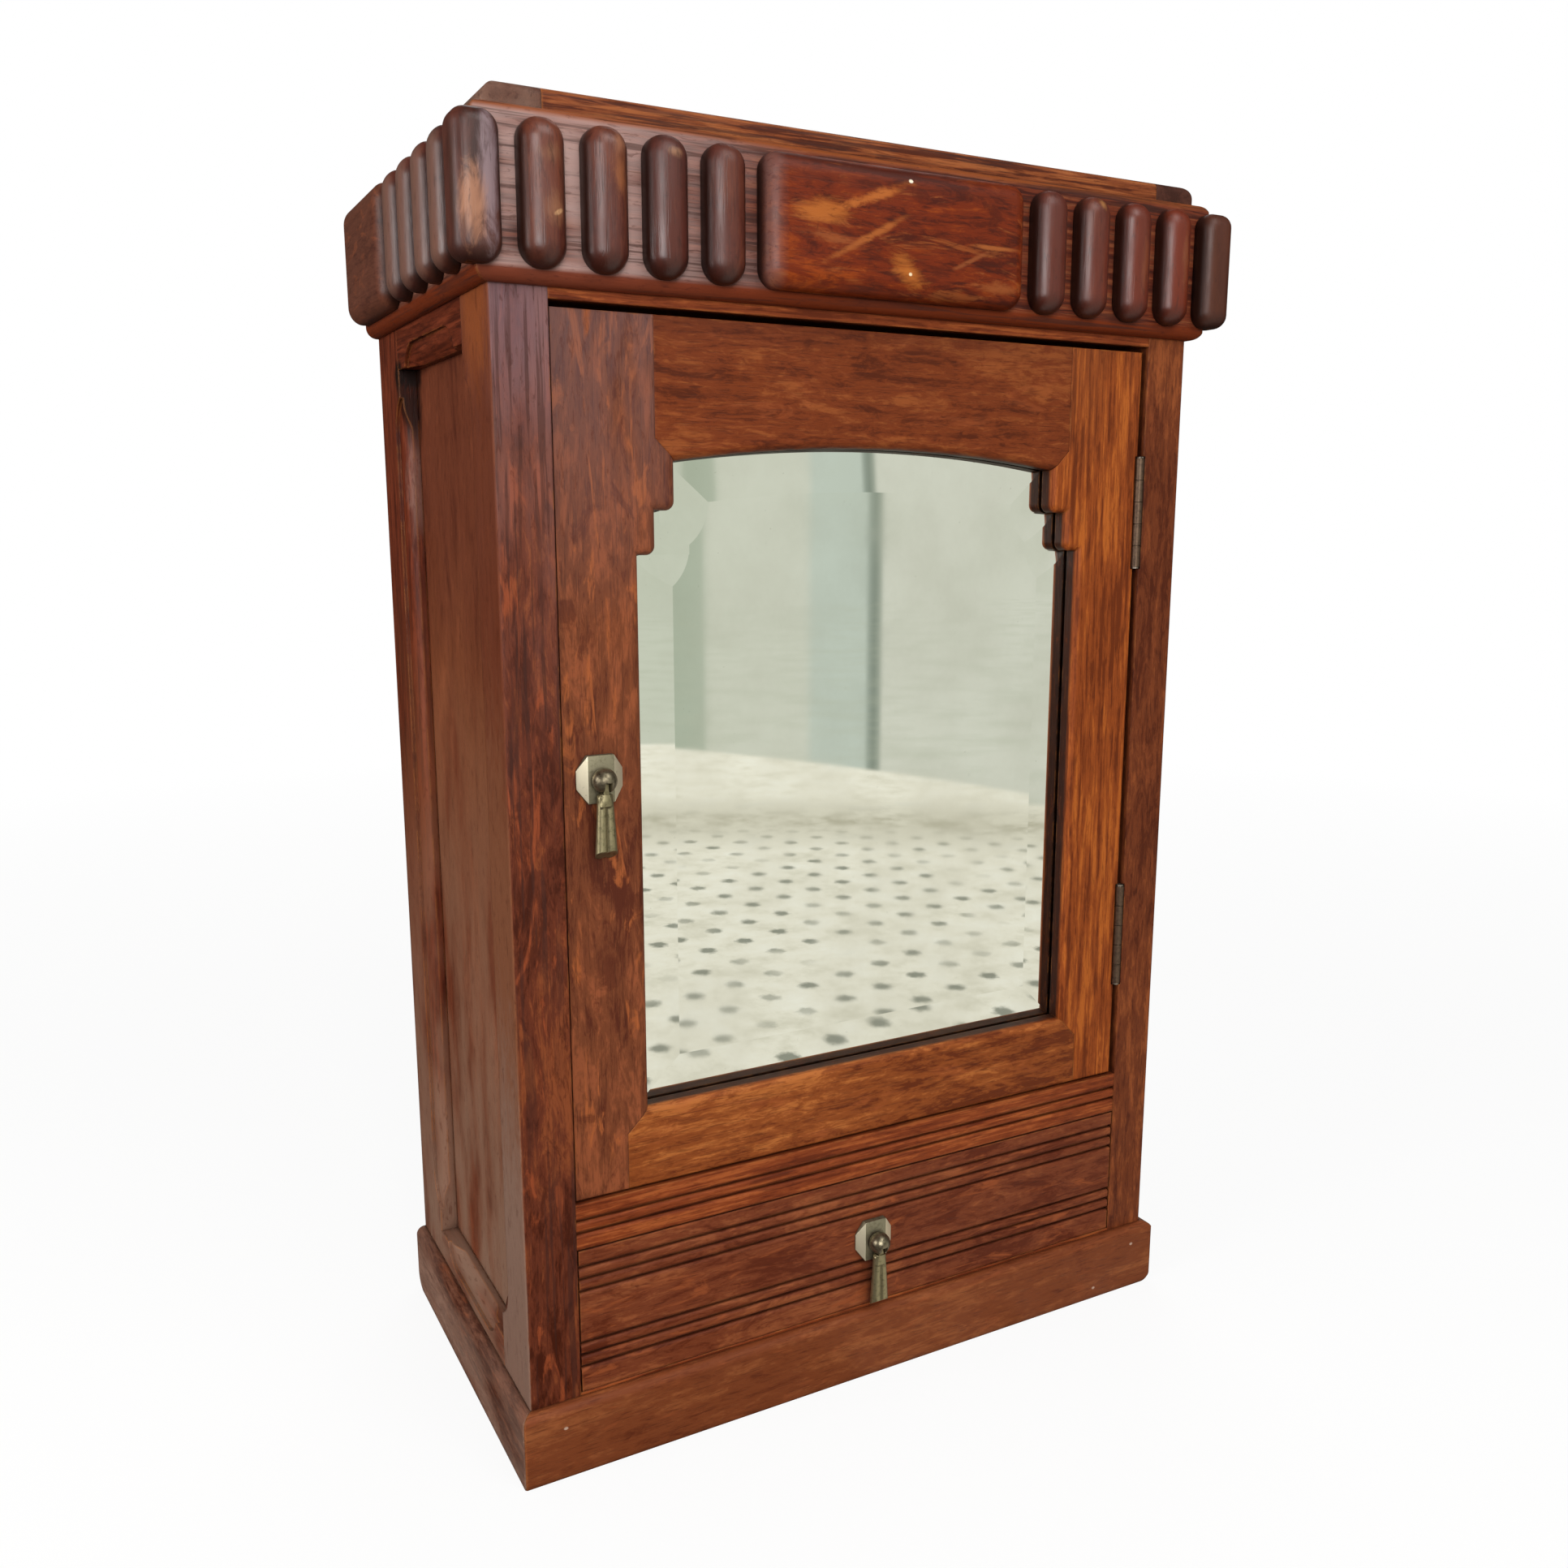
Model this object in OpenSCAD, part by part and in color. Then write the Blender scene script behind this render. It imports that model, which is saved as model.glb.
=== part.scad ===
// Oak wall cabinet with a ribbed cornice, a stepped mirror door and one drawer.
// Millimetres, +Z up, front towards -Y. The origin is under the middle of the whole box, on the floor.
// Inside the modules Y = 0 is the front face of the posts and X = 0 the middle of the case.

/* [Case] */
// Width of the case across its front posts
case_w = 420; // [380:5:460]
// Depth of the case, from the front of the posts to the back
case_d = 220; // [200:5:250]
// Height of the posts, up to the underside of the top
post_h = 668; // [630:2:720]
// Width of a front post, seen from the front
post_w = 28; // [25:0.5:32]
// Depth of a front post, seen from the side
post_d = 45; // [40:1:52]
// Rounding of a front post's outer arris
post_round = 1.5; // [0.5:0.25:3]
// Width of a rear stile, seen from the side
rear_w = 44; // [38:1:50]
// Thickness of the side rails and the rear stiles
side_t = 22; // [20:0.5:24]
// Height of a side frame's top rail
side_top_h = 86.5; // [80:0.5:96]
// Height of a side frame's bottom rail
side_bottom_h = 58.3; // [56:0.1:66]
// Thickness of a rail between the front posts
rail_t = 20; // [18:0.5:24]
// Thickness of the bottom and of the divider over the drawer
board_t = 12; // [9:0.5:16]
// Thickness of the back panel
back_t = 7; // [4:0.5:9]
// Width of the rebate that holds the back panel
back_rebate = 10; // [6:0.5:14]

/* [Side panels] */
// Depth of a side panel's face behind the frame's face
panel_set = 10.5; // [9:0.25:12]
// Thickness of a side panel
panel_t = 5.5; // [4:0.25:7]
// Depth of the groove that holds a side panel
panel_groove = 6; // [4:0.5:8]
// Width of the stopped moulding round a side panel
mould_w = 12; // [9:0.5:14]
// Width of the flat beside the moulding's round
mould_flat = 2; // [1:0.25:3]
// Depth of that flat
mould_quirk = 2; // [1:0.25:3]
// Fall of the moulding's round from the flat to the arris
mould_fall = 4.5; // [3:0.25:6]
// Plain length left at each corner before the moulding's run-out starts
mould_plain = 15; // [8:1:24]
// Radius of the run-outs at the moulding's ends
mould_runout_r = 20; // [16:1:26]

/* [Plinth] */
// Height of the plinth
plinth_h = 41; // [34:0.5:48]
// Distance that the plinth stands out from the case
plinth_out = 6; // [4:0.5:9]
// Rounding of the plinth's top edge
plinth_round = 5; // [2:0.25:6]
// Rounding of the plinth's front corners
plinth_corner = 1.5; // [0.5:0.25:4]
// Wear of the plinth's right-hand front foot
plinth_worn_r = 8; // [4:0.5:12]
// Rounding of the plinth's rear feet
plinth_rear_r = 11; // [4:0.5:16]
// Height from the plinth's top to the drawer's floor
floor_up = 1.7; // [0:0.1:3]

/* [Cornice] */
// Height of the frieze
frieze_h = 75; // [70:0.5:84]
// Thickness of the frieze
frieze_t = 7; // [6.5:0.5:10]
// Rounding of the frieze's upper and lower edges
frieze_round = 6; // [2:0.25:6.25]
// Rounding of the frieze's front corners, seen from above
frieze_corner = 1; // [0.5:0.25:3]
// Thickness of the top
top_t = 20; // [16:0.5:24]
// Height of the top's edge that shows above the frieze
top_show = 10; // [7:0.5:14]
// Rounding of the top's upper front edge
top_round = 4; // [1:0.25:6]
// Rounding of the top's upper edges at the sides
top_end_round = 9; // [2:0.5:10]
// Rounding of the top's front corners, seen from above
top_corner = 1; // [0.5:0.25:3]
// Width of a cleat across the end of the top
cleat_w = 28; // [22:1:34]
// Length of the tongues that hold the cleats
cleat_tongue = 8; // [5:0.5:12]
// Thickness of those tongues
cleat_tongue_t = 6; // [4:0.5:8]
// Distance that the tongues stop short of the front
cleat_stop = 15; // [8:1:30]
// Width of a rib
rib_w = 21.5; // [18:0.25:24]
// Length of a rib
rib_len = 63; // [50:0.5:68]
// Distance that the ribs stand out from the frieze
rib_out = 11; // [9:0.25:14]
// Rounding of the ribs' edges
rib_round = 7.5; // [5:0.25:8]
// Corner radius of the ribs, seen from the front
rib_corner = 8.75; // [8:0.25:9]
// Corner radius of the wide blocks, seen from the front
block_corner = 9.5; // [9:0.25:14]
// Gap between ribs
rib_gap = 8.4; // [6:0.2:11]
// Ribs on each side of the centre block, and on each side of the case
rib_count = 4; // [2:1:4]
// Distance that a corner block reaches past the case's corner
corner_in = 4; // [2:0.5:7]
// Height of the head rail that shows under the frieze
head_show = 5; // [3:0.5:10]
// Depth of the head rail's stop, behind the door
head_stop_t = 12; // [8:1:16]
// Distance that this stop hangs over the door
head_stop_h = 9; // [5:1:14]

/* [Drawer] */
// Height of the drawer front
drawer_h = 80.8; // [74:0.2:90]
// Running gap under the drawer
drawer_run = 0.3; // [0.2:0.1:0.6]
// Gap at each side of the drawer
drawer_side_gap = 0.8; // [0.6:0.1:1.6]
// Gap over the drawer front
drawer_top_gap = 1; // [0.6:0.1:1.6]
// Thickness of the drawer front
drawer_front_t = 20; // [18:0.5:24]
// Free depth behind the drawer, up to the back panel
drawer_room = 8; // [5:0.5:33]
// Thickness of the drawer's sides and back
drawer_wall = 9; // [7:0.5:12]
// Distance of the sides' top edge below the front's top edge
drawer_side_low = 3; // [2:0.5:8]
// Thickness of the drawer bottom
drawer_floor_t = 4; // [3:0.5:6]
// Height of the drawer bottom's underside over the sides' lower edge
drawer_floor_up = 6; // [5:0.5:9]
// Depth of the grooves that hold the drawer bottom
drawer_groove = 4; // [3:0.25:5]
// Wood left in front of the drawer front's dovetails
dovetail_lap = 6; // [4:0.5:9]
// Number of dovetails at each corner
dovetails = 3; // [2:1:4]
// Narrow width of a dovetail
dovetail_w = 12; // [8:0.5:14]
// Flare of a dovetail on each side
dovetail_flare = 2; // [1:0.25:3]
// Distance that the drawer can be drawn while it still runs true
drawer_travel = 150; // [100:5:160]
// Length of a drawer stop, front to back
stop_len = 12; // [8:1:20]

/* [Reeding] */
// Height of the reeded rail
reeded_h = 25.4; // [24:0.2:34]
// Distance between grooves
reed_pitch = 6.9; // [5:0.1:9]
// Width of a groove's slot
reed_slot = 1.4; // [0.8:0.1:2.5]
// Depth of a groove
reed_depth = 3; // [2:0.25:4]
// Rounding of a groove's shoulders
reed_shoulder = 1.8; // [0.5:0.1:2.5]
// Distance from the reeded rail's top to its first groove
reed_rail_down = 9.7; // [7:0.1:12]
// Grooves in the reeded rail
reed_rail_count = 2; // [1:1:2]
// Distance from the drawer front's top to its first groove
reed_top_down = 9.6; // [7:0.1:12]
// Distance from the drawer front's lower edge to its last groove
reed_bottom_up = 13.9; // [10:0.1:16]
// Grooves in each band of the drawer front
reed_count = 3; // [1:1:3]

/* [Door] */
// Gap between the door and the latch-side post
door_gap_latch = 1.2; // [1.2:0.1:2.4]
// Gap between the door and the hinge-side post
door_gap_hinge = 3.2; // [3:0.1:4]
// Gap over the door
door_gap_top = 3.2; // [1.5:0.1:5]
// Gap under the door
door_gap_bottom = 1.3; // [0.8:0.1:3]
// Distance of the door's face behind the posts' face
door_set = 2; // [1:0.25:3]
// Thickness of the door
door_t = 22; // [21:0.5:24]
// Clearance between the door's back and its stop
door_stop_gap = 0.3; // [0.2:0.1:1]
// Width of a door stile beside the mirror
stile_w = 42.1; // [38:0.1:50]
// Height of the door's bottom rail
sill_h = 43; // [38:0.5:54]
// Height of the door's top rail over the crown of the arch
crown_h = 59.2; // [54:0.2:70]
// Rise of the arch
arch_rise = 8.6; // [4:0.2:16]
// Reach of the lower step past the stile's edge
step_lower_out = 9.5; // [6:0.5:14]
// Reach of the upper step past the lower one
step_upper_out = 10.7; // [6:0.1:14]
// Height of the lower step
step_lower_h = 21.6; // [15:0.2:30]
// Height of the upper step
step_upper_h = 23.7; // [15:0.1:30]
// Corner radius of the steps
step_round = 4.5; // [4.25:0.25:6]
// Rounding of the door's sight edges
sight_round = 4; // [1.5:0.25:4]
// Length of the mitred part of the lower joints
joint_mitre = 12.5; // [8:0.5:18]
// Thickness of the door rails' tenons
door_tenon_t = 7; // [5:0.5:8]
// Length of the tenons beyond the shoulders
door_tenon_l = 20; // [12:1:24]

/* [Mirror] */
// Depth of the mirror's face behind the door's face
mirror_set = 10; // [8:0.5:11]
// Thickness of the mirror glass
glass_t = 4; // [3:0.25:5]
// Thickness of the backing board
backing_t = 3; // [2:0.25:4]
// Distance that the glass reaches behind the frame
glass_in = 6; // [4:0.5:8]
// Gap between the glass's edge and its rebate
glass_gap = 0.5; // [0.3:0.1:1]
// Width of the bevel that shows inside the frame
bevel_w = 22; // [12:0.5:26]
// Depth of the bevel at the edge of the glass
bevel_d = 1.6; // [0.8:0.1:2]
// Width of the beads behind the backing board
bead_w = 8; // [6:0.5:12]

/* [Hinges] */
// Length of a hinge
hinge_len = 63; // [50:0.5:76]
// Diameter of a hinge's barrel
barrel_d = 5.5; // [5.5:0.1:6]
// Thickness of a leaf
leaf_t = 1; // [0.8:0.1:1.4]
// Width of a leaf, from the pin's axis
leaf_w = 15.5; // [12:0.5:18]
// Depth of the pin's axis behind the posts' face
hinge_set = 1.5; // [1:0.25:2.5]
// Distance of each hinge from the door's end
hinge_in = 60; // [40:1:90]
// Diameter of the pin
pin_d = 2.8; // [2:0.1:3]
// Radial clearance of the pin in the knuckles
pin_clear = 0.05; // [0.02:0.01:0.1]
// Clearance between knuckles, and between the barrel and the wood
knuckle_gap = 0.3; // [0.2:0.05:0.5]
// Knuckles in a hinge
knuckles = 5; // [3:2:7]
// Radius of a pin's end button
button_r = 2.2; // [1.8:0.1:2.6]
// Height of a pin's end button
button_h = 1; // [0.5:0.1:1.5]
// Screws in each leaf
leaf_screws = 3; // [2:1:3]
// Distance between a leaf's screws
screw_pitch = 22; // [16:0.5:25]
// Depth of the screws behind the pin's axis
screw_in = 9; // [7:0.5:10]
// Radius of a screw's shank
screw_r = 1.25; // [1:0.05:1.5]
// Radius of a screw's head
screw_head_r = 2.25; // [1.8:0.05:2.6]
// Length of a screw's shank in the wood
screw_len = 13; // [9:0.5:16]
// Clearance of a screw in its hole
screw_clear = 0.05; // [0.02:0.01:0.1]

/* [Catch] */
// Radius of the ball catch's barrel
catch_r = 4; // [3:0.25:5]
// Length of the ball catch's barrel
catch_len = 12; // [9:0.5:16]
// Distance that the ball stands out of the door's edge
catch_out = 0.8; // [0.4:0.1:0.9]
// Radius of the ball
catch_ball_r = 2.5; // [2:0.1:3]
// Distance of the catch below the door pull
catch_down = 45; // [35:1:80]
// Height of the strike plate
strike_h = 30; // [24:1:44]
// Width of the strike plate
strike_w = 12; // [10:0.5:16]
// Thickness of the strike plate
strike_t = 1; // [0.8:0.1:1.5]

/* [Pulls] */
// Width of a pull's back plate
plate_w = 24.5; // [20:0.5:28]
// Height of a pull's back plate
plate_h = 24; // [20:0.5:26]
// Thickness of a back plate at its middle
plate_t = 3.5; // [2.5:0.1:4]
// Thickness of a back plate at its edges
plate_edge = 0.8; // [0.5:0.1:1.4]
// Width of a back plate's flat middle
plate_flat = 13.8; // [10:0.2:15]
// Height of the cut corners of a back plate
plate_cut = 7.4; // [5:0.1:8]
// Diameter of the ball
ball_d = 12.5; // [11:0.25:14]
// Distance from the back plate to the ball's centre
ball_out = 4.3; // [4:0.1:5.5]
// Radius of the ball's neck and stud
stud_r = 2; // [1.5:0.1:2.5]
// Length of the stud in the wood
stud_len = 14; // [10:0.5:15]
// Width of the ball's slot
slot_w = 3.6; // [3.2:0.1:4.4]
// Clearance between the drop's tongue and the slot
tongue_gap = 0.3; // [0.2:0.05:0.5]
// Radius of the pin across the slot
drop_pin_r = 0.9; // [0.7:0.05:1.1]
// Clearance of the drop on its pin
drop_clear = 0.08; // [0.04:0.01:0.1]
// Radius of the drop's eye
eye_r = 2.3; // [2:0.1:2.6]
// Angle that a drop can be raised from its rest
drop_swing = 60; // [45:5:70]
// Gap between the ball and the drop's head
ball_gap = 0.35; // [0.3:0.05:0.8]
// Radius of the drop's head at its top
head_top_r = 3; // [2.6:0.1:3.4]
// Radius of the head at its lower edge
head_low_r = 3.9; // [3.5:0.1:4.2]
// Height of the head
head_h = 6; // [4:0.5:8]
// Thickness of the head, front to back
head_t = 5.4; // [4.6:0.1:5.6]
// Length of the drop's lobes, with the head
drop_len = 33.2; // [26:0.2:36]
// Radius of a lobe at its top
lobe_top_r = 2.2; // [1.9:0.1:2.4]
// Radius of a lobe at its end
lobe_end_r = 3.3; // [2.9:0.1:3.6]
// Distance of a lobe's middle from the drop's middle, at the top
lobe_top_x = 1.7; // [1.2:0.1:1.8]
// The same distance at the end
lobe_end_x = 2.6; // [2:0.1:2.8]
// Height of the slope across the drop's end, which rises to the front
drop_slope = 5; // [1:0.5:6]
// Distance of the door pull from the door's latch edge
door_pull_in = 18.4; // [16:0.2:24]
// Height of the door pull above the middle of the door
door_pull_up = 0; // [-40:1:40]
// Height of the drawer pull over the drawer front's lower edge
drawer_pull_up = 41.5; // [41:0.5:50]

/* [Shelves and hanging rail] */
// Thickness of a shelf
shelf_t = 12; // [9:0.5:16]
// Height of the lower shelf's underside over the divider
lower_shelf_up = 165; // [120:5:200]
// Height of the upper shelf's underside over the divider
upper_shelf_up = 335; // [300:5:380]
// Distance of the shelves' front edge behind the door
shelf_set = 4; // [2:0.5:12]
// Clearance of the shelves at their ends and back
shelf_gap = 0.5; // [0.3:0.1:1.5]
// Height of a shelf batten
batten_h = 14; // [10:1:20]
// Distance that a batten reaches under a shelf from the post's inner face
batten_in = 6; // [4:0.5:12]
// Height of a drawer guide
guide_h = 12; // [8:1:20]
// Running gap between the drawer and a guide
guide_gap = 0.4; // [0.3:0.1:0.8]
// Height of the hanging rail
hang_h = 50; // [36:1:60]
// Thickness of the hanging rail
hang_t = 18; // [12:0.5:22]
// Distance of the hanging rail below the top
hang_down = 18; // [10:1:40]
// Distance between the two hanging holes
hang_pitch = 240; // [160:5:300]
// Radius of a hanging hole
hang_hole_r = 3; // [2:0.25:4]

/* [Joinery] */
// Thickness of the front rails' tenons
tenon_t = 8; // [6:0.5:10]
// Length of the front rails' tenons
tenon_l = 14; // [10:0.5:16]
// Shoulder over and under a tenon
tenon_in = 6; // [4:0.5:8]
// Length of the side rails' tenons
side_tenon_l = 16; // [10:0.5:20]
// Shoulder over and under a side rail's tenon
side_tenon_in = 12; // [10:0.5:16]
// Clearance of tenons, grooves and leaves in their seats
fit = 0.1; // [0.05:0.05:0.2]

/* [Hidden] */
$fn = 64;
arc_fn = 1440;
past = 1;

half_w = case_w / 2;
rib_reach = frieze_t + rib_out;
origin_y = -(case_d - rib_reach) / 2;
inner_w = half_w - post_w;
rear_inner = half_w - side_t;
panel_x = half_w - panel_set;
back_y = case_d - back_t;
drawer_len = back_y - drawer_room;

top_z = post_h + top_t;
frieze_z = top_z - top_show - frieze_h;
floor_z = plinth_h + floor_up;
drawer_z = floor_z + drawer_run;
reeded_z = drawer_z + drawer_h + drawer_top_gap;
divider_z = reeded_z + reeded_h;
door_z = divider_z + door_gap_bottom;
head_z = frieze_z - head_show;
door_top = head_z - door_gap_top;

side_mid_y = (post_d + case_d - rear_w) / 2;
side_mid_z = (side_bottom_h + post_h - side_top_h) / 2;
side_open_w = case_d - rear_w - post_d;
side_open_h = post_h - side_top_h - side_bottom_h;
mould_axis = mould_runout_r - mould_w;
mould_round_w = mould_w - mould_flat;
mould_round_r = (pow(mould_round_w, 2) + pow(mould_fall, 2)) / (2 * mould_fall);
mould_end = mould_plain + sqrt(pow(mould_runout_r, 2) - pow(mould_axis, 2));

rib_mid_z = frieze_z + frieze_h / 2;
rib_step = rib_w + rib_gap;
block_start = corner_in + rib_gap + rib_count * rib_step;

door_left = -inner_w + door_gap_latch;
door_right = inner_w - door_gap_hinge;
door_mid = (door_left + door_right) / 2;
door_half = (door_right - door_left) / 2;
door_back = door_set + door_t;
sight = door_half - stile_w;
step_x = [sight - step_lower_out, sight - step_lower_out - step_upper_out];
crown_z = door_top - crown_h;
spring_z = crown_z - arch_rise;
arch_r = (pow(step_x[1], 2) + pow(arch_rise, 2)) / (2 * arch_rise);
step_z = [spring_z - step_upper_h - step_lower_h, spring_z - step_upper_h];
sill_z = door_z + sill_h;
joint_x = sight + joint_mitre;
rebate = glass_in + glass_gap;
bevel_slope = bevel_d / (bevel_w + glass_in);

hinge_x = inner_w - door_gap_hinge / 2;
hinge_zs = [door_z + hinge_in + hinge_len / 2, door_top - hinge_in - hinge_len / 2];
barrel_r = barrel_d / 2;
knuckle_len = (hinge_len - (knuckles - 1) * knuckle_gap) / knuckles;
screw_zs = [for (i = [0 : leaf_screws - 1]) (i - (leaf_screws - 1) / 2) * screw_pitch];

door_pull = [door_left + door_pull_in, door_set, (door_z + door_top) / 2 + door_pull_up];
drawer_pull = [0, 0, drawer_z + drawer_pull_up];
catch_y = door_set + door_t / 2;
catch_z = door_pull[2] - catch_down;

drawer_half = inner_w - drawer_side_gap;
drawer_side_h = drawer_h - drawer_side_low;
drawer_floor_z = drawer_z + drawer_floor_up;
drawer_back_z = drawer_floor_z + drawer_floor_t;
shelf_front = door_back + shelf_set;
shelf_zs = [divider_z + lower_shelf_up, divider_z + upper_shelf_up];
hang_z = post_h - hang_down - hang_h;

oak = [0.45, 0.22, 0.12];
oak_light = [0.58, 0.30, 0.15];
oak_dark = [0.32, 0.16, 0.11];
oak_inside = [0.60, 0.42, 0.26];
brass = [0.55, 0.50, 0.38];
steel = [0.50, 0.49, 0.45];
silvered = [0.80, 0.83, 0.78];

// Placing and drawing aids

// Moves what is drawn from the posts' front face to the part's own origin.
module placed(tone) {
    color(tone) translate([0, origin_y, 0]) children();
}

// Extrudes a Y-Z outline along +X.
module along_x(len) {
    rotate([90, 0, 90]) linear_extrude(len) children();
}

// Extrudes an X-Z outline along +Y.
module along_y(len) {
    translate([0, len, 0]) rotate([90, 0, 0]) linear_extrude(len) children();
}

// Draws its children on the right side of the case as well.
module both_sides() {
    children();
    mirror([1, 0, 0]) children();
}

// A box between two corners.
module box(low, high) {
    translate(low) cube(high - low);
}

// What a rounded edge takes off a corner at the origin, where sx and sy say which way the corner points.
module arris(r, sx, sy) {
    reach = r + past;
    translate([-sx * r, -sy * r]) difference() {
        translate([min(0, sx * reach), min(0, sy * reach)]) square(reach);
        circle(r);
    }
}

// Joinery

// Tenons of a rail between the front posts, grown by a clearance for their mortises.
module front_tenons(z, h, clear) {
    y = (rail_t - tenon_t) / 2;
    both_sides() box([inner_w - past, y - clear, z + tenon_in - clear],
        [inner_w + tenon_l + clear, y + tenon_t + clear, z + h - tenon_in + clear]);
}

// Tenons of a side rail on the left, grown by a clearance for their mortises.
module side_tenons(z, h, clear) {
    box([-panel_x - clear, post_d - side_tenon_l - clear, z + side_tenon_in - clear],
        [-panel_x + panel_t + clear, case_d - rear_w + side_tenon_l + clear, z + h - side_tenon_in + clear]);
}

// The space of the left side panel, grown by a clearance for its grooves.
module panel_space(clear) {
    g = panel_groove;
    box([-panel_x - clear, post_d - g - clear, side_bottom_h - g - clear],
        [-panel_x + panel_t + clear, case_d - rear_w + g + clear, post_h - side_top_h + g + clear]);
}

// Profile of the cutter for the stopped moulding, from its turning axis outwards and down into the wood.
module mould_cutter() {
    deep = mould_quirk + mould_fall + past;
    difference() {
        translate([mould_axis - past, -deep]) square([mould_w + past, deep + past]);
        translate([mould_axis + mould_round_w, -mould_quirk - mould_round_r])
            circle(mould_round_r, $fn = 192);
        translate([mould_axis + mould_round_w, -deep - past])
            square([mould_flat + past, deep + past - mould_quirk]);
    }
}

// Cut of a stopped moulding along an edge of the side frame. The edge lies on X, the wood on +Y below Z = 0.
module stopped_mould(edge_len) {
    run = edge_len - 2 * mould_end;
    translate([-run / 2, -mould_axis, 0]) along_x(run) mould_cutter();
    for (s = [-1, 1]) translate([s * run / 2, -mould_axis, 0]) rotate_extrude() mould_cutter();
}

// Puts a cut on an edge of the left side frame. At angle 0 the wood lies above the edge.
module on_left_side(y, z, angle) {
    translate([-half_w, y, z]) rotate([90, 0, -90]) rotate([0, 0, angle]) children();
}

// Side frames, drawn for the left side

module post_blank() {
    difference() {
        linear_extrude(post_h) difference() {
            translate([-half_w, 0]) square([post_w, post_d]);
            translate([-half_w, 0]) arris(post_round, -1, -1);
        }
        panel_space(fit);
        side_tenons(0, side_bottom_h, fit);
        side_tenons(post_h - side_top_h, side_top_h, fit);
        front_tenons(0, floor_z, fit);
        front_tenons(reeded_z, reeded_h, fit);
        front_tenons(head_z, post_h - head_z, fit);
        on_left_side(post_d, side_mid_z, -90) stopped_mould(side_open_h);
    }
}

module left_front_post() {
    placed(oak) difference() {
        post_blank();
        strike_shape(fit);
    }
}

module right_front_post() {
    placed(oak) difference() {
        mirror([1, 0, 0]) post_blank();
        for (z = hinge_zs) translate([hinge_x, hinge_set, z]) hinge_seat(1);
    }
}

module rear_stile() {
    difference() {
        box([-half_w, case_d - rear_w, 0], [-rear_inner, case_d, post_h]);
        box([-rear_inner - back_rebate, back_y, -past], [-rear_inner + past, case_d + past, post_h + past]);
        panel_space(fit);
        side_tenons(0, side_bottom_h, fit);
        side_tenons(post_h - side_top_h, side_top_h, fit);
        on_left_side(case_d - rear_w, side_mid_z, 90) stopped_mould(side_open_h);
    }
}

module left_rear_stile() {
    placed(oak) rear_stile();
}

module right_rear_stile() {
    placed(oak) mirror([1, 0, 0]) rear_stile();
}

module side_rail(z, h, edge_z, angle) {
    difference() {
        union() {
            box([-half_w, post_d, z], [-rear_inner, case_d - rear_w, z + h]);
            side_tenons(z, h, 0);
        }
        panel_space(fit);
        on_left_side(side_mid_y, edge_z, angle) stopped_mould(side_open_w);
    }
}

module left_top_rail() {
    placed(oak) side_rail(post_h - side_top_h, side_top_h, post_h - side_top_h, 0);
}

module right_top_rail() {
    placed(oak) mirror([1, 0, 0]) side_rail(post_h - side_top_h, side_top_h, post_h - side_top_h, 0);
}

module left_bottom_rail() {
    placed(oak) side_rail(0, side_bottom_h, side_bottom_h, 180);
}

module right_bottom_rail() {
    placed(oak) mirror([1, 0, 0]) side_rail(0, side_bottom_h, side_bottom_h, 180);
}

module left_side_panel() {
    placed(oak) panel_space(0);
}

module right_side_panel() {
    placed(oak) mirror([1, 0, 0]) panel_space(0);
}

// Front rails

// Reeding grooves along a front face, one pitch apart, the first at height z and the rest below it.
module reeding(z, count) {
    half = reed_slot / 2;
    translate([-half_w, 0, z]) along_x(case_w) for (i = [0 : count - 1]) translate([0, -i * reed_pitch]) {
        translate([-past, -half]) square([reed_depth + past, reed_slot]);
        translate([0, half]) arris(reed_shoulder, -1, -1);
        translate([0, -half]) arris(reed_shoulder, -1, 1);
    }
}

module head_rail() {
    stop_y = door_back + door_stop_gap;
    placed(oak) {
        box([-inner_w, 0, head_z], [inner_w, stop_y + head_stop_t, post_h]);
        box([-inner_w, stop_y, door_top - head_stop_h], [inner_w, stop_y + head_stop_t, head_z + past]);
        front_tenons(head_z, post_h - head_z, 0);
    }
}

module reeded_rail() {
    placed(oak) difference() {
        union() {
            box([-inner_w, 0, reeded_z], [inner_w, rail_t, divider_z]);
            front_tenons(reeded_z, reeded_h, 0);
        }
        reeding(divider_z - reed_rail_down, reed_rail_count);
    }
}

module front_bottom_rail() {
    placed(oak) {
        box([-inner_w, 0, 0], [inner_w, rail_t, floor_z]);
        front_tenons(0, floor_z, 0);
    }
}

// Boards inside the case

// Outline of a board between the posts, the rear stiles and the back.
module inside_outline(y, clear) {
    polygon([[-inner_w + clear, y], [inner_w - clear, y], [inner_w - clear, post_d + clear],
        [rear_inner - clear, post_d + clear], [rear_inner - clear, back_y - clear],
        [-rear_inner + clear, back_y - clear], [-rear_inner + clear, post_d + clear],
        [-inner_w + clear, post_d + clear]]);
}

module case_bottom() {
    placed(oak_inside) translate([0, 0, floor_z - board_t]) linear_extrude(board_t) inside_outline(rail_t, 0);
}

module drawer_divider() {
    placed(oak_inside) translate([0, 0, divider_z - board_t])
        linear_extrude(board_t) inside_outline(rail_t, 0);
}

module shelves() {
    placed(oak_inside) for (z = shelf_zs) translate([0, 0, z])
        linear_extrude(shelf_t) inside_outline(shelf_front, shelf_gap);
}

module shelf_battens() {
    placed(oak_inside) for (z = concat(shelf_zs, [divider_z - board_t])) both_sides()
        box([-panel_x + panel_t, post_d, z - batten_h], [-inner_w + batten_in, case_d - rear_w, z]);
}

module drawer_guides() {
    placed(oak_inside) both_sides()
        box([-rear_inner, post_d, floor_z], [-drawer_half - guide_gap, back_y, floor_z + guide_h]);
}

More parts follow.
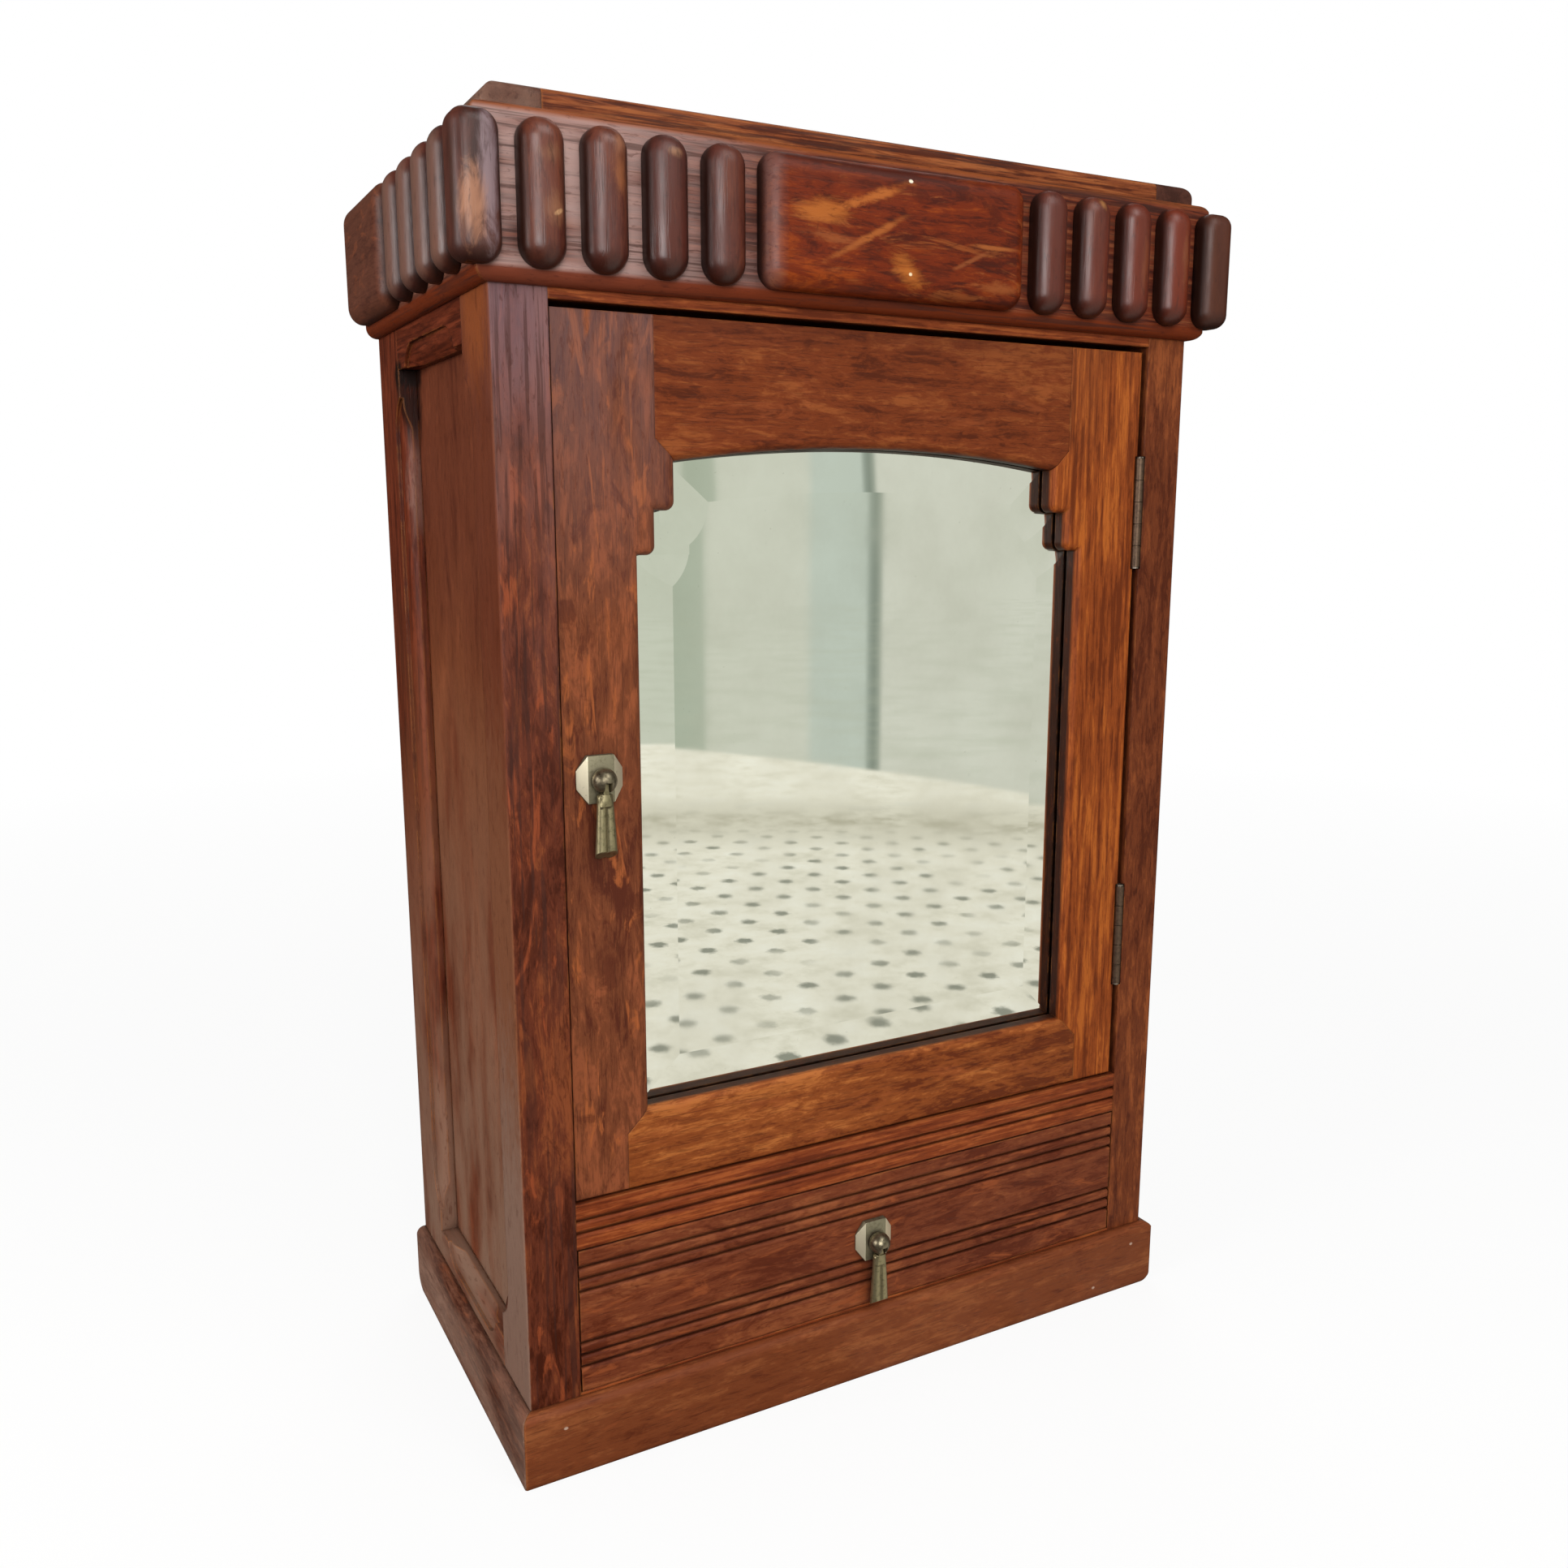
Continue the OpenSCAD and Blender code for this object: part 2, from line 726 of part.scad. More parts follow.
module drawer_stops() {
    y = drawer_front_t + drawer_run;
    x = drawer_half / 2;
    placed(oak_inside) both_sides()
        box([x, y, floor_z], [x + 2 * stop_len, y + stop_len, drawer_floor_z - drawer_run]);
}

module hang_holes() {
    for (s = [-1, 1]) translate([s * hang_pitch / 2, back_y - hang_t - past, hang_z + hang_h / 2])
        rotate([-90, 0, 0]) cylinder(h = hang_t + back_t + 2 * past, r = hang_hole_r);
}

module back_panel() {
    x = rear_inner + back_rebate;
    placed(oak_inside) difference() {
        box([-x, back_y, floor_z - board_t], [x, case_d, post_h]);
        hang_holes();
    }
}

module hanging_rail() {
    placed(oak_inside) difference() {
        box([-rear_inner, back_y - hang_t, hang_z], [rear_inner, back_y, hang_z + hang_h]);
        hang_holes();
    }
}

// Top

// Rounds the upper front edge of the top.
module top_front_cut() {
    translate([-half_w - past, 0, top_z]) along_x(case_w + 2 * past) arris(top_round, -1, 1);
}

// The tongues on the top board's ends, grown by a clearance for the cleats' grooves.
module top_tongues(clear) {
    x = half_w - cleat_w + cleat_tongue + clear;
    z = post_h + (top_t - cleat_tongue_t) / 2;
    back = case_d + (clear > 0 ? past : 0);
    box([-x, cleat_stop - clear, z - clear], [x, back, z + cleat_tongue_t + clear]);
}

module top_board() {
    x = half_w - cleat_w;
    placed(oak) difference() {
        union() {
            box([-x, 0, post_h], [x, case_d, top_z]);
            top_tongues(0);
        }
        top_front_cut();
    }
}

module top_cleats() {
    placed(oak) both_sides() difference() {
        box([-half_w, 0, post_h], [-half_w + cleat_w, case_d, top_z]);
        translate([-half_w, -past, top_z]) along_y(case_d + 2 * past) arris(top_end_round, -1, 1);
        translate([-half_w, 0, post_h - past]) linear_extrude(top_t + 2 * past) arris(top_corner, -1, -1);
        top_front_cut();
        top_tongues(fit);
    }
}

// Bands planted round the front and sides: the plinth and the frieze

// Cuts that round a band's upper and lower edges.
module band_rounds(out, z, h, r_top, r_bottom) {
    x = half_w + out;
    translate([-x - past, -out, 0]) along_x(2 * x + 2 * past) {
        translate([0, z + h]) arris(r_top, -1, 1);
        if (r_bottom > 0) translate([0, z]) arris(r_bottom, -1, -1);
    }
    both_sides() translate([-x, -out - past, 0]) along_y(case_d + out + 2 * past) {
        translate([0, z + h]) arris(r_top, -1, 1);
        if (r_bottom > 0) translate([0, z]) arris(r_bottom, -1, -1);
    }
}

// Cuts that round a band's front corners.
module band_corners(out, r) {
    for (s = [-1, 1]) translate([s * (half_w + out), -out]) arris(r, s, -1);
}

module band_front(out, z, h, r_top, r_bottom, r_corner) {
    x = half_w + out;
    difference() {
        translate([0, 0, z]) linear_extrude(h) difference() {
            polygon([[-x, -out], [x, -out], [half_w, 0], [-half_w, 0]]);
            band_corners(out, r_corner);
        }
        band_rounds(out, z, h, r_top, r_bottom);
    }
}

module band_left(out, z, h, r_top, r_bottom, r_corner) {
    x = half_w + out;
    difference() {
        translate([0, 0, z]) linear_extrude(h) difference() {
            polygon([[-x, -out], [-half_w, 0], [-half_w, case_d], [-x, case_d]]);
            band_corners(out, r_corner);
        }
        band_rounds(out, z, h, r_top, r_bottom);
    }
}

// The wear of the right-hand front foot, which takes in the ends of two strips.
module worn_foot() {
    translate([half_w + plinth_out, -plinth_out - past, 0])
        along_y(plinth_out + plinth_worn_r) arris(plinth_worn_r, 1, -1);
}

module plinth_front() {
    placed(oak_light) difference() {
        band_front(plinth_out, 0, plinth_h, plinth_round, 0, plinth_corner);
        worn_foot();
    }
}

module plinth_side() {
    difference() {
        band_left(plinth_out, 0, plinth_h, plinth_round, 0, plinth_corner);
        translate([-half_w - plinth_out - past, case_d, 0])
            along_x(plinth_out + 2 * past) arris(plinth_rear_r, 1, -1);
    }
}

module plinth_left() {
    placed(oak) plinth_side();
}

module plinth_right() {
    placed(oak) difference() {
        mirror([1, 0, 0]) plinth_side();
        worn_foot();
    }
}

module frieze_front() {
    placed(oak_dark) band_front(frieze_t, frieze_z, frieze_h, frieze_round, frieze_round, frieze_corner);
}

module frieze_left() {
    placed(oak_dark) band_left(frieze_t, frieze_z, frieze_h, frieze_round, frieze_round, frieze_corner);
}

module frieze_right() {
    placed(oak_dark) mirror([1, 0, 0])
        band_left(frieze_t, frieze_z, frieze_h, frieze_round, frieze_round, frieze_corner);
}

// Ribs and blocks of the cornice

// Half of a rib's section, from its middle to its rounded edge.
module rib_section(half) {
    difference() {
        square([half, rib_out]);
        translate([half, rib_out]) arris(rib_round, 1, 1);
    }
}

// A rounded block on the plane Y = 0, standing out towards +Y. Its corners have their own radius.
module loaf(w, corner) {
    cx = w / 2 - corner;
    cz = rib_len / 2 - corner;
    if (cx > 0) translate([-cx, 0, -cz]) cube([2 * cx, rib_out, 2 * cz]);
    for (a = [0 : 3]) rotate([0, a * 90, 0]) {
        sx = (a % 2 == 0) ? cx : cz;
        sz = (a % 2 == 0) ? cz : cx;
        translate([sx, 0, sz]) rotate([-90, 0, 0]) rotate([0, 0, -90])
            rotate_extrude(angle = 90) rib_section(corner);
        if (sz > 0) translate([sx, 0, -sz]) linear_extrude(2 * sz) rib_section(corner);
    }
}

// Puts a block on the front of the frieze, or on its left side, at a distance along it.
module on_front(x) {
    translate([x, -frieze_t, rib_mid_z]) rotate([0, 0, 180]) children();
}

module on_left(y) {
    translate([-half_w - frieze_t, y, rib_mid_z]) rotate([0, 0, 90]) children();
}

function rib_at(i) = corner_in + rib_gap + rib_w / 2 + i * rib_step;

module front_ribs() {
    placed(oak_dark) for (i = [0 : rib_count - 1]) both_sides()
        on_front(-half_w + rib_at(i)) loaf(rib_w, rib_corner);
}

module side_ribs() {
    for (i = [0 : rib_count - 1]) on_left(rib_at(i)) loaf(rib_w, rib_corner);
}

module left_ribs() {
    placed(oak_dark) side_ribs();
}

module right_ribs() {
    placed(oak_dark) mirror([1, 0, 0]) side_ribs();
}

// One arm of a corner block, from the axis of its outer corner to its rounded end.
module corner_arm() {
    arm = rib_reach - rib_round + corner_in;
    intersection() {
        loaf(2 * arm, rib_corner);
        box([0, -past, -rib_len], [2 * arm, rib_out + past, rib_len]);
    }
}

module corner_blocks() {
    axis_in = rib_reach - rib_round;
    placed(oak_dark) both_sides() {
        translate([-half_w - axis_in, -frieze_t, rib_mid_z]) mirror([0, 1, 0]) corner_arm();
        translate([-half_w - frieze_t, -axis_in, rib_mid_z]) rotate([0, 0, 90]) corner_arm();
        translate([-half_w - axis_in, -axis_in, rib_mid_z - rib_len / 2]) rotate([0, 0, 180])
            rotate_extrude(angle = 90) difference() {
                square([rib_round, rib_len]);
                translate([rib_round, rib_len]) arris(rib_round, 1, 1);
                translate([rib_round, 0]) arris(rib_round, 1, -1);
            }
    }
}

module centre_block() {
    placed(oak_dark) on_front(0) loaf(2 * (half_w - block_start), block_corner);
}

module rear_blocks() {
    placed(oak_dark) both_sides()
        on_left((block_start + case_d) / 2) loaf(case_d - block_start, block_corner);
}

// Hinges, drawn at the middle of the pin. Side is 1 for the case's leaf and -1 for the door's.

// Heights of the knuckles of one leaf: the case's are the first, third and so on.
function knuckle_z(i) = -hinge_len / 2 + i * (knuckle_len + knuckle_gap);
function first_knuckle(side) = side > 0 ? 0 : 1;

// The leaf's screws, grown by a clearance for their holes. The heads are flush with the leaf.
module leaf_screw_set(side, clear) {
    face = door_gap_hinge / 2;
    for (z = screw_zs) translate([side * face, screw_in, z]) rotate([0, side * 90, 0]) {
        cylinder(h = leaf_t, r1 = screw_head_r + clear, r2 = screw_r + clear);
        cylinder(h = screw_len + clear, r = screw_r + clear);
        if (clear > 0) translate([0, 0, -past]) cylinder(h = past, r = screw_head_r + clear);
    }
}

// A leaf beside the gap between door and post. With a clearance it is the recess for the leaf, open
// to the gap.
module leaf_plate(side, clear) {
    face = side * door_gap_hinge / 2;
    near = face - side * (clear > 0 ? past : 0);
    far = face + side * (leaf_t + clear);
    box([min(near, far), 0, -hinge_len / 2 - clear],
        [max(near, far), leaf_w + clear, hinge_len / 2 + clear]);
}

module hinge_leaf(side) {
    difference() {
        union() {
            leaf_plate(side, 0);
            for (i = [first_knuckle(side) : 2 : knuckles - 1])
                translate([0, 0, knuckle_z(i)]) cylinder(h = knuckle_len, r = barrel_r);
        }
        for (i = [first_knuckle(-side) : 2 : knuckles - 1])
            translate([0, 0, knuckle_z(i) - knuckle_gap])
                cylinder(h = knuckle_len + 2 * knuckle_gap, r = barrel_r + knuckle_gap);
        translate([0, 0, -hinge_len]) cylinder(h = 2 * hinge_len, r = pin_d / 2 + pin_clear);
        leaf_screw_set(side, screw_clear);
    }
}

// What a hinge takes out of the wood on one side: the leaf, the barrel's cove and the screws' holes.
module hinge_seat(side) {
    cove = hinge_len / 2 + button_h + knuckle_gap;
    leaf_plate(side, fit);
    leaf_screw_set(side, screw_clear);
    translate([0, 0, -cove]) cylinder(h = 2 * cove, r = barrel_r + knuckle_gap);
}

module case_hinge_leaves() {
    placed(brass) for (z = hinge_zs) translate([hinge_x, hinge_set, z]) hinge_leaf(1);
}

module door_hinge_leaves() {
    placed(brass) for (z = hinge_zs) translate([hinge_x, hinge_set, z]) hinge_leaf(-1);
}

module hinge_pins() {
    placed(steel) for (z = hinge_zs) translate([hinge_x, hinge_set, z]) {
        translate([0, 0, -hinge_len / 2]) cylinder(h = hinge_len, r = pin_d / 2);
        translate([0, 0, hinge_len / 2]) cylinder(h = button_h, r = button_r);
        translate([0, 0, -hinge_len / 2 - button_h]) cylinder(h = button_h, r = button_r);
    }
}

module case_hinge_screws() {
    placed(brass) for (z = hinge_zs) translate([hinge_x, hinge_set, z]) leaf_screw_set(1, 0);
}

module door_hinge_screws() {
    placed(brass) for (z = hinge_zs) translate([hinge_x, hinge_set, z]) leaf_screw_set(-1, 0);
}

// Catch

module strike_shape(clear) {
    box([-inner_w - strike_t - clear, catch_y - strike_w / 2 - clear, catch_z - strike_h / 2 - clear],
        [-inner_w + (clear > 0 ? past : 0), catch_y + strike_w / 2 + clear, catch_z + strike_h / 2 + clear]);
}

module strike_plate() {
    placed(brass) difference() {
        strike_shape(0);
        translate([-inner_w - strike_t - past, catch_y, catch_z]) rotate([0, 90, 0])
            cylinder(h = strike_t + 2 * past, r = catch_ball_r);
    }
}

module ball_catch() {
    placed(brass) translate([door_left, catch_y, catch_z]) {
        rotate([0, 90, 0]) cylinder(h = catch_len, r = catch_r);
        intersection() {
            translate([catch_ball_r - catch_out, 0, 0]) sphere(catch_ball_r);
            box([-catch_out - past, -catch_r, -catch_r], [past, catch_r, catch_r]);
        }
    }
}

// Door frame, drawn round the middle of the door with its face at Y = 0

module at_door(tone) {
    placed(tone) translate([door_mid, door_set, 0]) children();
}

// Rounding of an upright sight edge on the left, at x.
module sight_up(x, z0, z1) {
    translate([x, 0, z0]) linear_extrude(z1 - z0) arris(sight_round, 1, -1);
}

// Rounding of a level sight edge on the left, at z, with the wood over it or under it.
module sight_level(x0, x1, z, over) {
    translate([x0, 0, z]) along_x(x1 - x0) arris(sight_round, -1, over ? -1 : 1);
}

// Roundings of the stepped sight edge of the left stile.
module stepped_sight() {
    reach = sight_round + past;
    xs = [-sight, -step_x[0], -step_x[1]];
    sight_up(xs[0], sill_z - reach, step_z[0]);
    sight_up(xs[1], step_z[0] + step_round, step_z[1]);
    sight_up(xs[2], step_z[1] + step_round, spring_z + reach);
    for (i = [0, 1]) {
        intersection() {
            sight_up(xs[i], step_z[i] - past, step_z[i] + reach);
            sight_level(xs[i] - reach, xs[i] + past, step_z[i], true);
        }
        sight_level(xs[i], xs[i + 1] - step_round, step_z[i], true);
        translate([xs[i + 1] - step_round, 0, step_z[i] + step_round]) rotate([-90, 0, 0])
            rotate_extrude(angle = 90) arris_at(step_round, sight_round);
    }
}

// Section of a rounded edge at a distance from a turning axis.
module arris_at(distance, r) {
    translate([distance, 0]) arris(r, 1, -1);
}

// The rebate behind the sight edges, for the glass, the backing board and the beads.
module mirror_rebate() {
    x = sight + rebate;
    box([-x, mirror_set, sill_z - rebate], [x, door_t + past, crown_z + rebate]);
}

// Tenons of the door's top rail, grown by a clearance for their mortises.
module top_tenons(clear) {
    y = (door_t - door_tenon_t) / 2;
    x = step_x[0] + door_tenon_l + clear;
    low = crown_z + rebate + tenon_in / 2 - clear;
    box([-x, y - clear, low], [x, y + door_tenon_t + clear, door_top - tenon_in + clear]);
}

module sill_tenons(clear) {
    y = (door_t - door_tenon_t) / 2;
    x = joint_x + door_tenon_l + clear;
    high = sill_z - rebate - tenon_in / 2 + clear;
    box([-x, y - clear, door_z + tenon_in - clear], [x, y + door_tenon_t + clear, high]);
}

// Outline of the left stile: plain outside, stepped inside, mitred beside the sight at both joints.
module stile_outline() {
    x0 = -sight;
    x1 = -step_x[0];
    x2 = -step_x[1];
    difference() {
        polygon([[-door_half, door_z], [-joint_x, door_z], [-joint_x, sill_z - joint_mitre], [x0, sill_z],
            [x0, step_z[0]], [x1, step_z[0]], [x1, step_z[1]], [x2, step_z[1]], [x2, spring_z],
            [x1, spring_z + x2 - x1], [x1, door_top], [-door_half, door_top]]);
        translate([x1, step_z[0]]) arris(step_round, 1, -1);
        translate([x2, step_z[1]]) arris(step_round, 1, -1);
    }
}

module stile_blank() {
    difference() {
        along_y(door_t) stile_outline();
        stepped_sight();
        mirror_rebate();
        top_tenons(fit);
        sill_tenons(fit);
    }
}

module door_left_stile() {
    placed(oak) difference() {
        translate([door_mid, door_set, 0]) stile_blank();
        translate([door_left - past, catch_y, catch_z]) rotate([0, 90, 0])
            cylinder(h = catch_len + past, r = catch_r);
        translate(door_pull) stud_bore();
    }
}

module door_right_stile() {
    placed(oak_light) difference() {
        translate([door_mid, door_set, 0]) mirror([1, 0, 0]) stile_blank();
        for (z = hinge_zs) translate([hinge_x, hinge_set, z]) hinge_seat(-1);
    }
}

module door_top_rail() {
    x1 = step_x[0];
    x2 = step_x[1];
    low = spring_z - past;
    arch_z = crown_z - arch_r;
    swing = 2 * asin((x1 + past) / arch_r);
    at_door(oak) difference() {
        union() {
            along_y(door_t) difference() {
                polygon([[-x1, door_top], [-x1, spring_z + x1 - x2], [-x2, spring_z], [-x2, low], [x2, low],
                    [x2, spring_z], [x1, spring_z + x1 - x2], [x1, door_top]]);
                translate([0, arch_z]) circle(arch_r, $fn = arc_fn);
            }
            top_tenons(0);
        }
        mirror_rebate();
        translate([0, 0, arch_z]) rotate([-90, 0, 0]) rotate([0, 0, -90 - swing / 2])
            rotate_extrude(angle = swing, $fn = arc_fn) translate([arch_r, 0]) arris(sight_round, -1, -1);
    }
}

module door_bottom_rail() {
    reach = sight_round + past;
    at_door(oak_light) difference() {
        union() {
            along_y(door_t) polygon([[-joint_x, door_z], [joint_x, door_z], [joint_x, sill_z - joint_mitre],
                [sight, sill_z], [-sight, sill_z], [-joint_x, sill_z - joint_mitre]]);
            sill_tenons(0);
        }
        mirror_rebate();
        sight_level(-sight - reach, sight + reach, sill_z, false);
    }
}

// Mirror

module glass_outline() {
    low = sill_z - glass_in;
    for (s = [[sight, step_z[0]], [step_x[0], step_z[1]]])
        translate([-s[0] - glass_in, low]) square([2 * (s[0] + glass_in), s[1] + glass_in - low]);
    x = step_x[1] + glass_in;
    intersection() {
        translate([-x, low]) square([2 * x, crown_z + glass_in - low]);
        translate([0, crown_z - arch_r]) circle(arch_r + glass_in, $fn = arc_fn);
    }
}

// Section of the bevel's cut. The sight edge is at 0 and the glass reaches behind the frame on -X.
module bevel_section() {
    far = glass_in + past;
    polygon([[bevel_w, -past], [bevel_w, 0], [-far, bevel_slope * (bevel_w + far)], [-far, -past]]);
}

// Bevel along an upright sight edge on the left.
module bevel_up(x, z0, z1) {
    translate([x, 0, z0]) linear_extrude(z1 - z0) bevel_section();
}

// Bevel under a level sight edge.
module bevel_under(x0, x1, z) {
    translate([x0, 0, z]) along_x(x1 - x0) rotate([0, 0, -90]) bevel_section();
}

// Bevel over a level sight edge.
module bevel_over(x0, x1, z) {
    translate([x0, 0, z]) along_x(x1 - x0) rotate([0, 0, 90]) mirror([0, 1]) bevel_section();
}

// Bevel round the outer corner of a step on the left.
module bevel_corner(x, z) {
    r = bevel_w + step_round;
    translate([x - step_round, -past, z + step_round]) rotate([-90, 0, 0])
        cylinder(h = past + r * bevel_slope, r1 = r + past / bevel_slope, r2 = 0, $fn = 96);
}

module mirror_glass() {
    far = glass_in + past;
    xs = [-sight, -step_x[0], -step_x[1]];
    swing = 2 * asin((step_x[1] + far) / arch_r);
    at_door(silvered) translate([0, mirror_set, 0]) difference() {
        along_y(glass_t) glass_outline();
        both_sides() {
            bevel_up(xs[0], sill_z - far, step_z[0]);
            bevel_up(xs[1], step_z[0], step_z[1]);
            bevel_up(xs[2], step_z[1], crown_z + far);
            for (i = [0, 1]) {
                bevel_under(xs[i] - far, xs[i + 1] - step_round, step_z[i]);
                bevel_corner(xs[i + 1], step_z[i]);
            }
        }
        bevel_over(-sight - far, sight + far, sill_z);
        translate([0, 0, crown_z - arch_r]) rotate([-90, 0, 0]) rotate([0, 0, -90 - swing / 2])
            rotate_extrude(angle = swing, $fn = arc_fn)
                translate([arch_r, 0]) mirror([1, 0]) bevel_section();
    }
}

module mirror_backing() {
    x = sight + glass_in;
    at_door(oak_inside) box([-x, mirror_set + glass_t, sill_z - glass_in],
        [x, mirror_set + glass_t + backing_t, crown_z + glass_in]);
}

module mirror_beads() {
    x = sight + glass_in;
    z0 = sill_z - glass_in;
    z1 = crown_z + glass_in;
    y = mirror_set + glass_t + backing_t;
    b = bead_w;
    f = fit;
    at_door(oak_light) translate([0, y, 0]) along_y(door_t - y) {
        both_sides() polygon([[-x, z0 + f], [-x + b, z0 + b + f], [-x + b, z1 - b - f], [-x, z1 - f]]);
        polygon([[-x, z0], [-x + b, z0 + b], [x - b, z0 + b], [x, z0]]);
        polygon([[-x, z1], [-x + b, z1 - b], [x - b, z1 - b], [x, z1]]);
    }
}

// Pulls, drawn on a face at Y = 0 with their middle at the origin and the front towards -Y

module pull_plate() {
    w = plate_w / 2;
    h = plate_h / 2;
    c = plate_cut;
    f = plate_flat / 2;
    difference() {
        intersection() {
            translate([0, -plate_t, 0]) along_y(plate_t)
                polygon([[-f, -h], [f, -h], [w, -h + c], [w, h - c], [f, h], [-f, h], [-w, h - c],
                    [-w, -h + c]]);
            translate([0, 0, -h]) linear_extrude(2 * h)
                polygon([[-w, 0], [-w, -plate_edge], [-f, -plate_t], [f, -plate_t], [w, -plate_edge],
                    [w, 0]]);
        }
        stud_bore();
    }
}

// The hole that a pull's stud needs through its plate and into the wood.
module stud_bore() {
    translate([0, -plate_t - past, 0]) rotate([-90, 0, 0])
        cylinder(h = plate_t + past + stud_len, r = stud_r);
}

// Room for the drop's eye and for its tongue from rest to the end of the swing, as a Y-Z outline round
// the pin's axis.
module swing_room() {
    room = eye_r + tongue_gap;
    x = room * cos(drop_swing);
    y = room * sin(drop_swing);
    far = ball_d;
    circle(room + tongue_gap);
    polygon([[room, 0], [-x, y], [-x - far * sin(drop_swing), y - far * cos(drop_swing)], [-far, -far],
        [room, -far]]);
}

// The ball with its slot, the pin across the slot and the stud.
module pull_boss() {
    axis = -plate_t - ball_out;
    r = ball_d / 2;
    difference() {
        union() {
            intersection() {
                translate([0, axis, 0]) sphere(r);
                box([-r, axis - r, -r], [r, -plate_t, r]);
            }
            translate([0, -plate_t, 0]) rotate([-90, 0, 0]) cylinder(h = plate_t + stud_len, r = stud_r);
        }
        translate([-slot_w / 2, axis, 0]) along_x(slot_w) swing_room();
    }
    translate([-slot_w / 2 - past, axis, 0]) rotate([0, 90, 0])
        cylinder(h = slot_w + 2 * past, r = drop_pin_r);
}

// The drop: an eye on the pin, a tongue, a head, and two lobes side by side that widen to a sloping end.
module pull_drop() {
    half = slot_w / 2 - tongue_gap;
    top = -ball_d / 2 - ball_gap;
    splay = atan((lobe_end_x - lobe_top_x) / drop_len);
    translate([0, -plate_t - ball_out, 0]) difference() {
        union() {
            translate([-half, 0, 0]) rotate([0, 90, 0]) cylinder(h = 2 * half, r = eye_r);
            box([-half, -eye_r + tongue_gap, top - lobe_top_r], [half, eye_r - tongue_gap, 0]);
            intersection() {
                translate([0, 0, top - head_h]) cylinder(h = head_h, r1 = head_low_r, r2 = head_top_r);
                box([-head_low_r, -head_t / 2, top - head_h], [head_low_r, head_t / 2, top]);
            }
            intersection() {
                both_sides() translate([-lobe_top_x, 0, top]) rotate([180, splay, 0])
                    cylinder(h = drop_len + past, r1 = lobe_top_r, r2 = lobe_end_r);
                drop_limits(top, top - drop_len);
            }
        }
        translate([-half - past, 0, 0]) rotate([0, 90, 0])
            cylinder(h = 2 * half + 2 * past, r = drop_pin_r + drop_clear);
    }
}

// Limits of the lobes: level at the top, sloping at the end.
module drop_limits(top, end) {
    w = 2 * lobe_end_r;
    translate([-w, 0, 0]) along_x(2 * w)
        polygon([[-w, end + 1.5 * drop_slope], [w, end - drop_slope / 2], [w, top - past / 2],
            [-w, top - past / 2]]);
}

module door_pull_plate() {
    placed(brass) translate(door_pull) pull_plate();
}

module door_pull_boss() {
    placed(brass) translate(door_pull) pull_boss();
}

module door_pull_drop() {
    placed(brass) translate(door_pull) pull_drop();
}

module drawer_pull_plate() {
    placed(brass) translate(drawer_pull) pull_plate();
}

module drawer_pull_boss() {
    placed(brass) translate(drawer_pull) pull_boss();
}

module drawer_pull_drop() {
    placed(brass) translate(drawer_pull) pull_drop();
}

// Drawer

// Dovetails that widen from a side's end towards +Y, spread over a height h from z. They start a
// little inside the side so that they grow from it.
module tails(reach, z, h) {
    pitch = h / dovetails;
    a = dovetail_w / 2;
    b = a + dovetail_flare;
    for (i = [0 : dovetails - 1]) translate([0, z + (i + 0.5) * pitch])
        polygon([[-past, -a], [0, -a], [reach, -b], [reach, b], [0, a], [-past, a]]);
}

module front_tails() {
    translate([drawer_front_t, 0]) mirror([1, 0])
        tails(drawer_front_t - dovetail_lap, drawer_z, drawer_side_h);
}

// The drawer's back stands on the drawer bottom, so its joint starts there.
module back_tails() {
    translate([drawer_len - drawer_wall, 0])
        tails(drawer_wall, drawer_back_z, drawer_z + drawer_side_h - drawer_back_z);
}

module drawer_floor(clear) {
    x = drawer_half - drawer_wall + drawer_groove + clear;
    box([-x, drawer_front_t - drawer_groove - clear, drawer_floor_z - clear],
        [x, drawer_len + (clear > 0 ? past : 0), drawer_floor_z + drawer_floor_t + clear]);
}

module drawer_front() {
    x = drawer_half;
    placed(oak) difference() {
        box([-x, 0, drawer_z], [x, drawer_front_t, drawer_z + drawer_h]);
        both_sides() translate([-x - past, 0, 0]) along_x(drawer_wall + past) front_tails();
        drawer_floor(fit);
        reeding(drawer_z + drawer_h - reed_top_down, reed_count);
        reeding(drawer_z + reed_bottom_up + (reed_count - 1) * reed_pitch, reed_count);
        translate(drawer_pull) stud_bore();
    }
}

module drawer_side() {
    difference() {
        translate([-drawer_half, 0, 0]) along_x(drawer_wall) {
            translate([drawer_front_t, drawer_z])
                square([drawer_len - drawer_front_t - drawer_wall, drawer_side_h]);
            translate([drawer_front_t, drawer_z])
                square([drawer_len - drawer_front_t, drawer_back_z - drawer_z]);
            front_tails();
            back_tails();
        }
        drawer_floor(fit);
    }
}

module drawer_left_side() {
    placed(oak_inside) drawer_side();
}

module drawer_right_side() {
    placed(oak_inside) mirror([1, 0, 0]) drawer_side();
}

module drawer_back() {
    x = drawer_half;
    y = drawer_len - drawer_wall;
    placed(oak_inside) difference() {
        box([-x, y, drawer_back_z], [x, drawer_len, drawer_z + drawer_side_h]);
        both_sides() translate([-x - past, 0, 0]) along_x(drawer_wall + past) back_tails();
    }
}

module drawer_bottom() {
    placed(oak_inside) drawer_floor(0);
}

